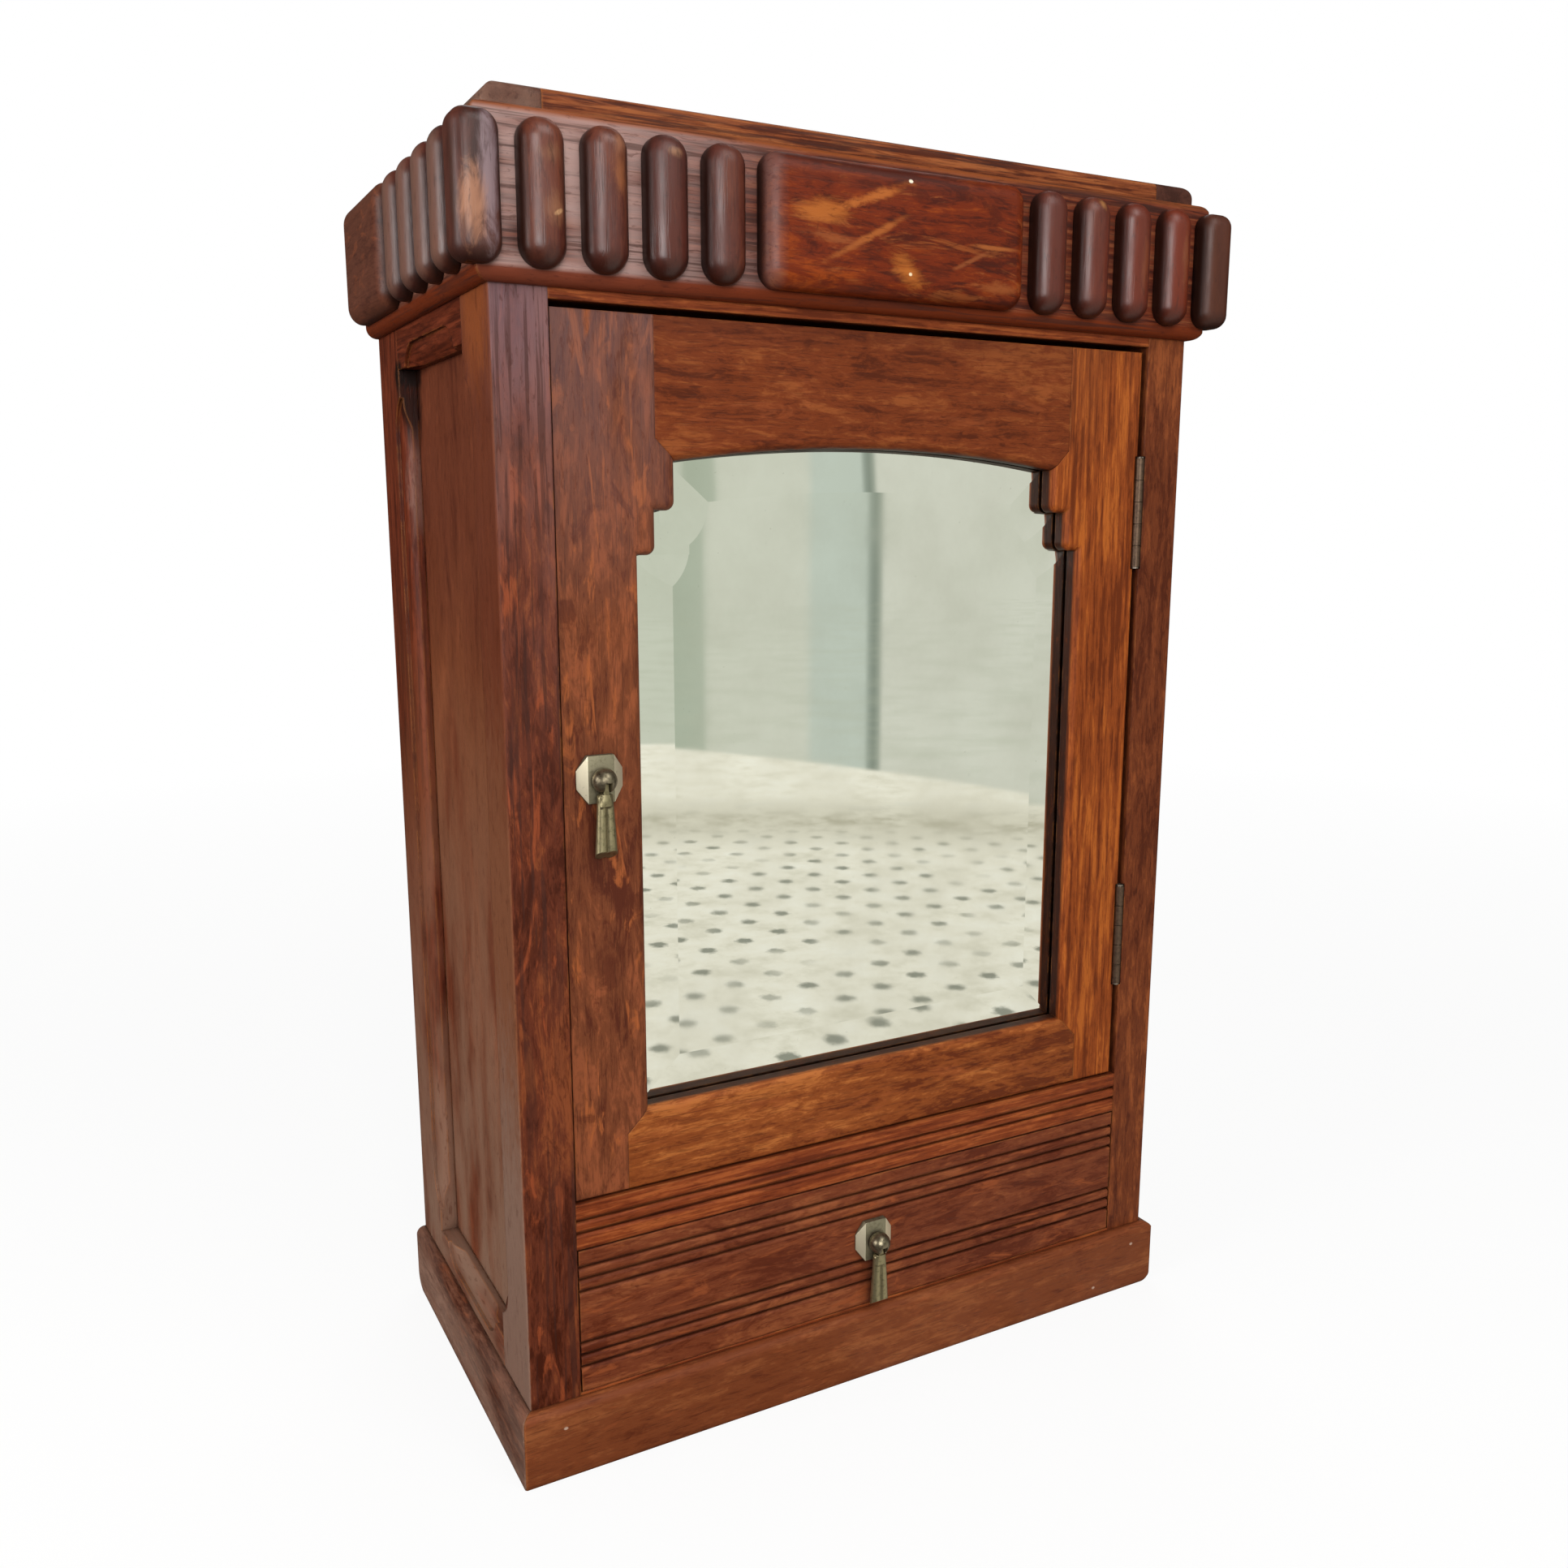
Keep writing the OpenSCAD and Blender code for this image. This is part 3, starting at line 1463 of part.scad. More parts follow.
left_front_post();
right_front_post();
left_rear_stile();
right_rear_stile();
left_top_rail();
right_top_rail();
left_bottom_rail();
right_bottom_rail();
left_side_panel();
right_side_panel();
head_rail();
reeded_rail();
front_bottom_rail();
case_bottom();
drawer_divider();
shelves();
shelf_battens();
drawer_guides();
drawer_stops();
back_panel();
hanging_rail();
top_board();
top_cleats();
plinth_front();
plinth_left();
plinth_right();
frieze_front();
frieze_left();
frieze_right();
front_ribs();
left_ribs();
right_ribs();
corner_blocks();
centre_block();
rear_blocks();
case_hinge_leaves();
hinge_pins();
case_hinge_screws();
strike_plate();
door_left_stile();
door_right_stile();
door_top_rail();
door_bottom_rail();
mirror_glass();
mirror_backing();
mirror_beads();
door_hinge_leaves();
door_hinge_screws();
ball_catch();
door_pull_plate();
door_pull_boss();
door_pull_drop();
drawer_front();
drawer_left_side();
drawer_right_side();
drawer_back();
drawer_bottom();
drawer_pull_plate();
drawer_pull_boss();
drawer_pull_drop();
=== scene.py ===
"""Oak mirror cabinet with a ribbed cornice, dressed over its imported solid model.

The solid model comes in as a fixed frame in metres: Z up, the front facing -Y, the floor at Z = 0.
Rounded and smooth pieces are modelled again here and stand for their solids. Flat joinery keeps its
solids and gets its wood, brass and mirror from procedural materials.
"""

import logging
import math
from dataclasses import dataclass
from enum import Enum
from typing import Callable, Iterable, Iterator, Optional

import bmesh
import bpy
from mathutils import Matrix, Vector


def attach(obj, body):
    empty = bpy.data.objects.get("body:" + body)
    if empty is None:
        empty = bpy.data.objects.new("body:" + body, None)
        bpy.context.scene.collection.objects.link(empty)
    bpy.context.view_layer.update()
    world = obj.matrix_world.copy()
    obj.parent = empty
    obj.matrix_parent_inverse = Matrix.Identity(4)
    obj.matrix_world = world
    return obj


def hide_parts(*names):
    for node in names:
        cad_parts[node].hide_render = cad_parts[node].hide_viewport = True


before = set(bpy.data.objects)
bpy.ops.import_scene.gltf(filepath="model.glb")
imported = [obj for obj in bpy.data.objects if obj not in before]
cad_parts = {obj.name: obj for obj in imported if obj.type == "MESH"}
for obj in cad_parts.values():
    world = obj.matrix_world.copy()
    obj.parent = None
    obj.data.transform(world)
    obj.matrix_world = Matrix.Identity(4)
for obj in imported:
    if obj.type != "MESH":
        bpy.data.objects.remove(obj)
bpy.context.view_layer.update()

log = logging.getLogger("cabinet")
MM = 0.001
Socket = bpy.types.NodeSocket
Triple = tuple[float, float, float]

# The setting that a node's way of working is kept in.
WAYS = {"Math": "operation", "VectorMath": "operation", "VectorRotate": "rotation_type",
        "MapRange": "interpolation_type", "Mix": "data_type"}


def srgb(code: str) -> tuple[float, float, float, float]:
    """Turns an sRGB hex colour into Blender's linear one.

    Args:
        code: Six hex digits.

    Returns:
        Linear red, green and blue, and an alpha of 1.
    """
    parts = [int(code[i:i + 2], 16) / 255 for i in (0, 2, 4)]
    line = [c / 12.92 if c <= 0.04045 else ((c + 0.055) / 1.055) ** 2.4 for c in parts]
    return (line[0], line[1], line[2], 1.0)


class Surface:
    """A node tree that is being filled, and the places that its patterns read.

    Attributes:
        tree: The tree.
        place: The place in the frame, in metres.
        wood: The same place, moved and turned so that a board's fibres stand upright.
    """

    def __init__(self, owner: bpy.types.Material | bpy.types.World, source: str = "Object") -> None:
        """Empties the owner's node tree.

        Args:
            owner: The material or world.
            source: The coordinates that give the place.
        """
        owner.use_nodes = True
        self.tree = owner.node_tree
        self.tree.nodes.clear()
        self.place = self.wood = self.add("TexCoord", out=source)

    def add(self, kind: str, sockets: dict | tuple = (), out: int | str = 0, **settings) -> Optional[Socket]:
        """Adds one node with its settings, socket values and links.

        Args:
            kind: The node's type without its ShaderNode prefix, and after a space its way of working.
            sockets: What its inputs get, in their order or by name or index: a value, a hex colour, or
                the output that is linked to the input.
            out: Name or index of the output that is wanted.
            settings: Properties of the node. stops is a ramp's list of position and hex colour.

        Returns:
            The wanted output, or None from a node that has no outputs.
        """
        kind, _, way = kind.partition(" ")
        node = self.tree.nodes.new("ShaderNode" + kind)
        if way:
            setattr(node, WAYS[kind], way)
        stops = settings.pop("stops", ())
        for key, value in settings.items():
            setattr(node, key, value)
        if stops:
            ramp = node.color_ramp
            while len(ramp.elements) < len(stops):
                ramp.elements.new(0.5)
            for element, (place, tone) in zip(ramp.elements, stops):
                element.position = place
                element.color = srgb(tone)
        for key, value in sockets.items() if isinstance(sockets, dict) else enumerate(sockets):
            if isinstance(value, Socket):
                self.tree.links.new(value, node.inputs[key])
            else:
                node.inputs[key].default_value = srgb(value) if isinstance(value, str) else value
        return node.outputs[out] if node.outputs else None


class Grain(Enum):
    """Direction of the wood's fibres, as the turn that brings them upright in the pattern."""

    UP = (0.0, 0.0, 0.0)
    ACROSS = (0.0, math.pi / 2, 0.0)
    DEEP = (math.pi / 2, 0.0, 0.0)


class Figure(Enum):
    """How the board was cut.

    Each holds the shares of broad clouds, flames, rings and dashes in its tone, the rings' width in mm,
    and how much of it shows ray fleck.
    """

    STRAIGHT = (0.2, 0.2, 0.45, 0.15, 2.6, 0.0)
    FLAT = (0.25, 0.35, 0.15, 0.25, 4.0, 0.3)
    FLECKED = (0.25, 0.45, 0.1, 0.2, 4.0, 1.0)
    CALM = (0.5, 0.3, 0.05, 0.15, 3.0, 0.0)
    LINED = (0.15, 0.1, 0.65, 0.1, 2.6, 0.0)


@dataclass(frozen=True)
class Marks:
    """Marks of one kind in the wood, such as pores or flames, drawn out along the fibres.

    Attributes:
        width: Width of a mark in mm.
        squeeze: Its width as a share of its length.
        detail: How many finer sizes it is broken up by.
        warp: How much it curls.
        rough: Strength of the finer sizes.
        low: Where in the noise it starts to show.
        high: Where in the noise it shows in full.
    """

    width: float
    squeeze: float
    detail: float
    warp: float = 0.0
    rough: float = 0.55
    low: float = 0.0
    high: float = 1.0

    def noise(self, on: Surface) -> Socket:
        """Lays the marks as cloudy noise.

        Args:
            on: The board's surface.

        Returns:
            The noise.
        """
        wood = on.wood
        if self.squeeze != 1.0:
            wood = on.add("VectorMath MULTIPLY", (wood, (1.0, 1.0, self.squeeze)))
        return on.add("TexNoise", {"Vector": wood, "Scale": 1000 / self.width, "Detail": self.detail,
                                   "Roughness": self.rough, "Distortion": self.warp})

    def shown(self, on: Surface, top: float = 1.0) -> Socket:
        """Lays the marks with clear edges.

        Args:
            on: The board's surface.
            top: How strongly the marks show.

        Returns:
            Their share, from 0 between them to top within them.
        """
        return on.add("MapRange SMOOTHSTEP", (self.noise(on), self.low, self.high, 0.0, top))


# Clouds a hand wide, flames about 15 x 60 mm and dashes about 3 x 12 mm make the figure.
CLOUDS = Marks(58, 0.3, 3, 0.6)
FLAMES = Marks(15, 0.25, 6, 1.3, 0.68)
DASHES = Marks(3.2, 0.26, 4, 0.9, 0.7)
# Medullary rays are lens-shaped flecks, about 12 x 60 mm, that took less stain. It pooled between them.
RAYS = Marks(12, 0.2, 5, 1.6, 0.62, 0.56, 0.66)
POOLS = Marks(20, 0.4, 6, 1.5, 0.68, 0.55, 0.65)
# Open pores are really 0.3 mm wide, and drawn 0.8 mm wide so that they show at this size.
PORES = Marks(0.8, 0.05, 2, 0.0, 0.6, 0.54, 0.7)
# Wax bloom, dust and the painted sheen and shade lie in clouds of 30 x 100 mm. Chips, worn places and painted
# patches tear at 7 x 23 mm and finer.
FILM = Marks(30, 0.3, 3, 0.0, 0.55, 0.25, 0.6)
TEARS = Marks(7, 0.3, 7, 1.3, 0.72)
# Drying lines are hair thin, a few millimetres apart and a hand long, and lie in groups.
HAIRS = Marks(2.4, 0.03, 3, 0.2, 0.55, 0.5, 0.6)
HAIR_GROUPS = Marks(26, 0.2, 2, 0.0, 0.55, 0.33, 0.53)
# Short dark dashes, about 2 x 10 mm, lie over casts and wear too.
TOP_DASHES = Marks(2.2, 0.22, 4, 0.8, 0.66, 0.55, 0.68)


@dataclass(frozen=True)
class BloomAndPaintedLight:
    """A cast of another tone that fades along one axis, such as wax bloom, dust or collected stain, or a
    painted sheen, highlight or shade.

    Attributes:
        tone: Its colour.
        full: Place in mm where it is strongest.
        gone: Place in mm where it has faded.
        share: Strength at its strongest.
        axis: The axis, X, Y or Z.
        uneven: Whether noise breaks it up.
        until: Place in mm past full where it ends again, if it does.
        end: Length in mm of that end.
    """

    tone: str
    full: float
    gone: float
    share: float
    axis: str = "Z"
    uneven: bool = True
    until: Optional[float] = None
    end: float = 2.0

    def shown(self, on: Surface) -> Socket:
        """Works out how strongly the cast shows.

        Args:
            on: The board's surface.

        Returns:
            Its share.
        """
        along = on.add("SeparateXYZ", (on.place,), self.axis)
        fade = on.add("MapRange", (along, self.gone * MM, self.full * MM, 0.0, self.share))
        if self.until is not None:
            stop = on.add("MapRange SMOOTHSTEP", (along, self.until * MM, (self.until - self.end) * MM))
            fade = on.add("Math MULTIPLY", (fade, stop))
        if self.uneven:
            fade = on.add("Math MULTIPLY", (fade, FILM.shown(on)))
        return fade


@dataclass(frozen=True)
class Patch:
    """A place worn through the stain, a pale chip, a place where dark stain collected, or a patch of painted
    sheen or shade.

    Attributes:
        at: Its middle in mm, in the frame.
        reach: Half sizes in mm along X, Y and Z.
        tone: The colour that shows.
        ragged: How much noise breaks its edge, 0 to 1.
        share: How much of the tone shows in its middle.
        tilt: Its turn about Y in degrees, rising to the right when positive.
    """

    at: Triple
    reach: Triple
    tone: str
    ragged: float = 0.8
    share: float = 1.0
    tilt: float = 0.0

    def shown(self, on: Surface) -> Socket:
        """Works out how strongly the patch shows.

        Args:
            on: The board's surface.

        Returns:
            Its share.
        """
        off = on.add("VectorMath SUBTRACT", (on.place, tuple(v * MM for v in self.at)))
        off = on.add("VectorRotate Y_AXIS", {"Vector": off, "Angle": math.radians(self.tilt)})
        off = on.add("VectorMath MULTIPLY", (off, tuple(1000 / v for v in self.reach)))
        far = on.add("VectorMath LENGTH", (off,), "Value")
        # The noise adds about 1.5 to the distance where it tears fully, so the edge starts further out.
        torn = on.add("Math MULTIPLY", (TEARS.noise(on), 3.0 * self.ragged))
        far = on.add("Math ADD", (far, torn))
        span = (far, 0.6 + 0.9 * self.ragged, 1.0 + 1.7 * self.ragged, self.share, 0.0)
        return on.add("MapRange SMOOTHSTEP", span)


@dataclass(frozen=True)
class StainedOak:
    """Oak, planed, stained reddish brown and waxed a long time ago.

    The stain sits deep in the open pores and thin on the rays and worn arrises, so the eye sees dark
    dashes along the fibres, lighter flecks, and edges rubbed to orange.

    Attributes:
        name: The finish, in a maker's words.
        dark: Tone of the late wood.
        mid: Tone that most of the surface has.
        light: Tone of the early wood.
        figure: How the board was cut.
        worn: Tone of rubbed edges.
        fleck: Tone of the rays.
        wear: How much of the arrises is rubbed, 0 to 1.
        rough: Roughness of the wax.
        gloss: Specular level of the wax.
        gain: Contrast of the figure.
        dashes: How dark the short dashes are that lie over casts and wear, 0 to 1.
        lines: How dark the fine drying lines are that run with the grain, 0 to 1.
        dirt_and_shade: How dark recesses are painted, as dirt and as shade, 0 to 1.
        shade: Shares of hidden sky at which the painted shade and dirt start and are full.
        dirt_and_shade_mm: How far the painted shade and dirt reach out of a corner, in mm.
        bump: Strength of the pores' relief.
        blooms_and_painted_light: Casts of another tone: wax bloom, dust and stain, and painted sheen,
            highlights and shade.
        patches: Worn places, chips, pools, and patches of painted sheen or shade.
    """

    name: str
    dark: str
    mid: str
    light: str
    figure: Figure = Figure.FLAT
    worn: str = "a0602f"
    fleck: str = "a3562f"
    wear: float = 0.5
    rough: float = 0.46
    gloss: float = 0.12
    gain: float = 6.4
    dashes: float = 0.45
    lines: float = 0.0
    dirt_and_shade: float = 0.75
    dirt_and_shade_mm: float = 8.0
    shade: tuple[float, float] = (0.2, 0.9)
    bump: float = 0.3
    blooms_and_painted_light: tuple[BloomAndPaintedLight, ...] = ()
    patches: tuple[Patch, ...] = ()

    def ground(self, on: Surface, rings: Socket) -> Socket:
        """Mixes the figure and gives it its three tones.

        Args:
            on: The board's surface.
            rings: Noise of the year rings.

        Returns:
            The colour.
        """
        parts = (CLOUDS.noise(on), FLAMES.noise(on), rings, DASHES.noise(on))
        mixed = None
        for noise, share in zip(parts, self.figure.value):
            part = on.add("Math MULTIPLY", (noise, share))
            mixed = on.add("Math ADD", (mixed, part)) if mixed else part
        tone = on.add("MapRange", (mixed, 0.5 - 0.5 / self.gain, 0.5 + 0.5 / self.gain))
        return on.add("ValToRGB", (tone,), stops=((0.08, self.dark), (0.42, self.mid), (0.56, self.mid),
                                                  (0.92, self.light)))

    def rubbed(self, on: Surface, soft: Socket) -> Socket:
        """Finds rubbed arrises, where the rounded normal turns away from the face's own.

        Args:
            on: The board's surface.
            soft: The rounded normal.

        Returns:
            The share that is rubbed.
        """
        flat = on.add("NewGeometry", out="True Normal")
        turn = on.add("VectorMath DOT_PRODUCT", (soft, flat), "Value")
        turn = on.add("Math SUBTRACT", (1.0, turn))
        edge = on.add("MapRange SMOOTHSTEP", (turn, 0.01, 0.16))
        # The wear comes and goes every 14 mm.
        spots = Marks(14, 1.0, 4, low=0.62 - 0.4 * self.wear, high=0.72 - 0.25 * self.wear)
        share = on.add("Math MULTIPLY", (edge, spots.shown(on)))
        return on.add("Math MULTIPLY", (share, 0.75))

    def coats(self, on: Surface, pores: Socket, soft: Socket) -> Iterator[tuple[Socket, str]]:
        """Gives what lies over the figure, from the bottom up.

        Args:
            on: The board's surface.
            pores: The pores' share.
            soft: The rounded normal.

        Returns:
            Each coat's share and tone.
        """
        rays = self.figure.value[-1]
        if rays:
            yield RAYS.shown(on, 0.8 * rays), self.fleck
            yield POOLS.shown(on, 0.65 * rays), self.dark
        yield on.add("Math MULTIPLY", (pores, 0.4)), "30130a"
        # Casts of another tone, some wax bloom and dust, some painted sheen, highlight and shade.
        for bloom in self.blooms_and_painted_light:
            yield bloom.shown(on), bloom.tone
        if self.lines:
            hairs = (HAIRS.shown(on, self.lines), HAIR_GROUPS.shown(on))
            yield on.add("Math MULTIPLY", hairs), "3a201a"
        for patch in self.patches:
            yield patch.shown(on), patch.tone
        yield TOP_DASHES.shown(on, self.dashes), self.dark
        yield self.rubbed(on, soft), self.worn
        # Painted shade and dirt: quirks and corners are darkened by the share of sky they hide, for the shade
        # that falls there and the old wax and dust that gather there.
        sky = on.add("AmbientOcclusion", {"Distance": self.dirt_and_shade_mm * MM}, "AO", samples=4)
        hidden = on.add("Math SUBTRACT", (1.0, sky))
        yield on.add("MapRange SMOOTHSTEP", (hidden, *self.shade, 0.0, self.dirt_and_shade)), "200d08"

    def material(self, grain: Grain, seed: int, label: str) -> bpy.types.Material:
        """Builds the finish for one board.

        Args:
            grain: Direction of the fibres.
            seed: Moves the pattern, so that no two boards match.
            label: The board's name.

        Returns:
            The material.
        """
        material = bpy.data.materials.new(f"{self.name} {label}")
        on = Surface(material)
        shift = (seed * 0.173 % 1.9, seed * 0.311 % 1.7, seed * 0.257 % 2.3)
        on.wood = on.add("Mapping", {"Vector": on.place, "Rotation": grain.value, "Location": shift})
        *_, ring_mm, _ = self.figure.value
        rings = Marks(ring_mm, 0.05, 3, 0.5, 0.62).noise(on)
        pores = PORES.shown(on)
        # A planed arris is rounded by about 1.6 mm.
        soft = on.add("Bevel", {"Radius": 1.6 * MM}, samples=4)
        colour = self.ground(on, rings)
        for share, tone in self.coats(on, pores, soft):
            colour = on.add("Mix RGBA", {0: share, 6: colour, 7: tone}, 2)
        # The wax is duller and brighter in clouds of 24 mm.
        sheen = Marks(24, 1.0, 3).noise(on)
        rough = on.add("MapRange", (sheen, 0.3, 0.7, self.rough - 0.07, self.rough + 0.1))
        ridges = on.add("Math MULTIPLY", (rings, 0.5))
        height = on.add("Math SUBTRACT", (ridges, pores))
        bump = on.add("Bump", {"Strength": self.bump, "Distance": 0.3 * MM, "Height": height, "Normal": soft})
        body = on.add("BsdfPrincipled", {"Base Color": colour, "Roughness": rough, "Normal": bump,
                                         "IOR": 1.5, "Specular IOR Level": self.gloss})
        on.add("OutputMaterial", {"Surface": body})
        return material


@dataclass(frozen=True)
class AgedMetal:
    """Pressed brass or nickel-plated brass, dulled by handling.

    It keeps a pale gloss where fingers rub it and goes brown in the hollows.

    Attributes:
        name: The metal and its finish.
        bright: Reflection colour where it is rubbed.
        dull: Reflection colour where it has tarnished.
        rough: Roughness of the rubbed metal.
        tarnish: Share of the surface that is dull, 0 to 1.
    """

    name: str
    bright: str
    dull: str
    rough: float = 0.34
    tarnish: float = 0.5

    def material(self) -> bpy.types.Material:
        """Builds the metal's material.

        Returns:
            The material.
        """
        material = bpy.data.materials.new(self.name)
        on = Surface(material)
        # Tarnish spots are 1 to 4 mm across.
        spots = on.add("TexNoise", {"Vector": on.place, "Scale": 420.0, "Detail": 5.0, "Roughness": 0.65})
        dulled = on.add("MapRange", (spots, 0.75 - 0.5 * self.tarnish, 1.0 - 0.5 * self.tarnish))
        sky = on.add("AmbientOcclusion", {"Distance": 3 * MM}, "AO", samples=4)
        hollow = on.add("MapRange", (sky, 0.2, 0.8, 0.85, 0.0))
        colour = self.bright
        for share, tone in ((dulled, self.dull), (hollow, "3a2a18")):
            colour = on.add("Mix RGBA", {0: share, 6: colour, 7: tone}, 2)
        # Handling leaves a fine matt grain of about 0.7 mm.
        fine = on.add("TexNoise", {"Vector": on.place, "Scale": 1500.0, "Detail": 2.0})
        rough = on.add("MapRange", (fine, 0.0, 1.0, self.rough - 0.06, self.rough + 0.16))
        soft = on.add("Bevel", {"Radius": 0.35 * MM}, samples=4)
        bump = on.add("Bump", {"Strength": 0.2, "Distance": 0.1 * MM, "Height": spots, "Normal": soft})
        body = on.add("BsdfPrincipled", {"Base Color": colour, "Metallic": 0.85, "Roughness": rough,
                                         "Normal": bump})
        on.add("OutputMaterial", {"Surface": body})
        return material


@dataclass(frozen=True)
class SilveredGlass:
    """Plate glass, ground to a bevel, polished and silvered on the back.

    Old plate has a green cast, and its silver has lost a little of its shine in soft clouds.

    Attributes:
        name: The finish.
        cast: Colour of what it reflects.
        cloudy: Colour where the silver has aged.
        lost: Colour of the specks where it is gone.
    """

    name: str = "silvered plate glass"
    cast: str = "edefe5"
    cloudy: str = "e2e3d8"
    lost: str = "8d8a76"

    def material(self) -> bpy.types.Material:
        """Builds the mirror's material.

        Returns:
            The material.
        """
        material = bpy.data.materials.new(self.name)
        on = Surface(material)
        # Aged silver shows as clouds a few centimetres across, and as specks of 1.5 mm.
        cloud = on.add("TexNoise", {"Vector": on.place, "Scale": 16.0, "Detail": 5.0, "Roughness": 0.6})
        aged = on.add("MapRange", (cloud, 0.4, 0.75))
        specks = on.add("TexNoise", {"Vector": on.place, "Scale": 650.0, "Detail": 2.0})
        gone = on.add("MapRange", (specks, 0.74, 0.8, 0.0, 0.35))
        colour = self.cast
        for share, tone in ((aged, self.cloudy), (gone, self.lost)):
            colour = on.add("Mix RGBA", {0: share, 6: colour, 7: tone}, 2)
        rough = on.add("MapRange", (cloud, 0.35, 0.8, 0.01, 0.06))
        body = on.add("BsdfPrincipled", {"Base Color": colour, "Metallic": 1.0, "Roughness": rough})
        on.add("OutputMaterial", {"Surface": body})
        return material


def dress(node: str, material: bpy.types.Material) -> None:
    """Gives a solid of the frame its finish.

    Args:
        node: The solid's name.
        material: The finish for all its slots.
    """
    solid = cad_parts[node]
    for slot in solid.material_slots:
        slot.material = material
    log.info("dressed %s in %s", node, material.name)


def dress_boards(first: int, step: int, *boards: tuple[str, StainedOak, Grain]) -> None:
    """Dresses boards in wood, each with a pattern of its own.

    Args:
        first: Seed of the first board.
        step: How much higher each next board's seed is.
        boards: Each board's solid, finish and grain.
    """
    for number, (node, finish, grain) in enumerate(boards):
        dress(node, finish.material(grain, first + step * number, node.replace("_", " ")))


def alone(obj: bpy.types.Object) -> None:
    """Selects one object and nothing else.

    Args:
        obj: The object.
    """
    bpy.ops.object.select_all(action="DESELECT")
    obj.select_set(True)
    bpy.context.view_layer.objects.active = obj


def pick(obj: bpy.types.Object, kind: str, test: Callable) -> None:
    """Selects parts of the mesh in edit mode by their place.

    Args:
        obj: The object that is being edited.
        kind: VERT, EDGE or FACE.
        test: True for what is wanted. It is given the bmesh vertex, edge or face.
    """
    bpy.ops.mesh.select_mode(type=kind)
    bpy.ops.mesh.select_all(action="DESELECT")
    mesh = bmesh.from_edit_mesh(obj.data)
    for part in {"VERT": mesh.verts, "EDGE": mesh.edges, "FACE": mesh.faces}[kind]:
        if test(part):
            part.select_set(True)
    bmesh.update_edit_mesh(obj.data)


def settle(obj: bpy.types.Object, name: str, angle: float) -> bpy.types.Object:
    """Leaves edit mode, names the piece, turns its faces outwards and smooths it.

    Args:
        obj: The piece, in edit mode.
        name: Its final name.
        angle: Faces that meet at less than this many degrees are shaded as one.

    Returns:
        The piece.
    """
    bpy.ops.mesh.select_all(action="SELECT")
    bpy.ops.mesh.remove_doubles(threshold=1e-6)
    bpy.ops.mesh.normals_make_consistent(inside=False)
    bpy.ops.object.mode_set(mode="OBJECT")
    obj.name = obj.data.name = name
    alone(obj)
    bpy.ops.object.transform_apply(location=True, rotation=True, scale=True)
    bpy.ops.object.shade_smooth_by_angle(angle=math.radians(angle))
    return obj


def copies(obj: bpy.types.Object, places: Iterable[Matrix], name: str) -> bpy.types.Object:
    """Puts a copy of a piece, with its own mesh, at each place and joins them.

    Args:
        obj: The piece that is copied. It is used up.
        places: Where each copy goes.
        name: Name of the joined piece.

    Returns:
        The joined piece.
    """
    made = []
    for place in places:
        twin = bpy.data.objects.new(name, obj.data.copy())
        twin.data.transform(place)
        bpy.context.collection.objects.link(twin)
        made.append(twin)
    bpy.data.objects.remove(obj)
    bpy.ops.object.select_all(action="DESELECT")
    for twin in made:
        twin.select_set(True)
    bpy.context.view_layer.objects.active = made[0]
    if len(made) > 1:
        bpy.ops.object.join()
    joined = bpy.context.view_layer.objects.active
    joined.name = joined.data.name = name
    return joined


def smooth_twin(node: str, name: str, angle: float) -> bpy.types.Object:
    """Copies a solid, closes its loose triangles and shades it smooth.

    Args:
        node: The solid.
        name: Name of the copy.
        angle: Faces that meet at less than this many degrees are shaded as one.

    Returns:
        The copy, at the origin.
    """
    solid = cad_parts[node]
    mesh = solid.data.copy()
    mesh.transform(solid.matrix_world)
    twin = bpy.data.objects.new(name, mesh)
    bpy.context.collection.objects.link(twin)
    alone(twin)
    bpy.ops.object.mode_set(mode="EDIT")
    bpy.ops.mesh.select_all(action="SELECT")
    bpy.ops.mesh.remove_doubles(threshold=2e-6)
    bpy.ops.mesh.dissolve_limited(angle_limit=math.radians(0.1))
    bpy.ops.object.mode_set(mode="OBJECT")
    bpy.ops.object.shade_smooth_by_angle(angle=math.radians(angle))
    return twin


def stand_for(piece: bpy.types.Object, body: str, slot: str, finish: Optional[bpy.types.Material],
              *nodes: str) -> None:
    """Hands a finished piece to its body in place of solids.

    Args:
        piece: The piece.
        body: The body that it moves with.
        slot: A material slot's name; not used.
        finish: Its material, unless it has its own already.
        nodes: The solids that it stands for.
    """
    if finish is not None:
        piece.data.materials.clear()
        piece.data.materials.append(finish)
    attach(piece, body)
    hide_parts(*nodes)
    log.info("%s rides on %s for %s, %d faces", piece.name, body, ", ".join(nodes), len(piece.data.polygons))


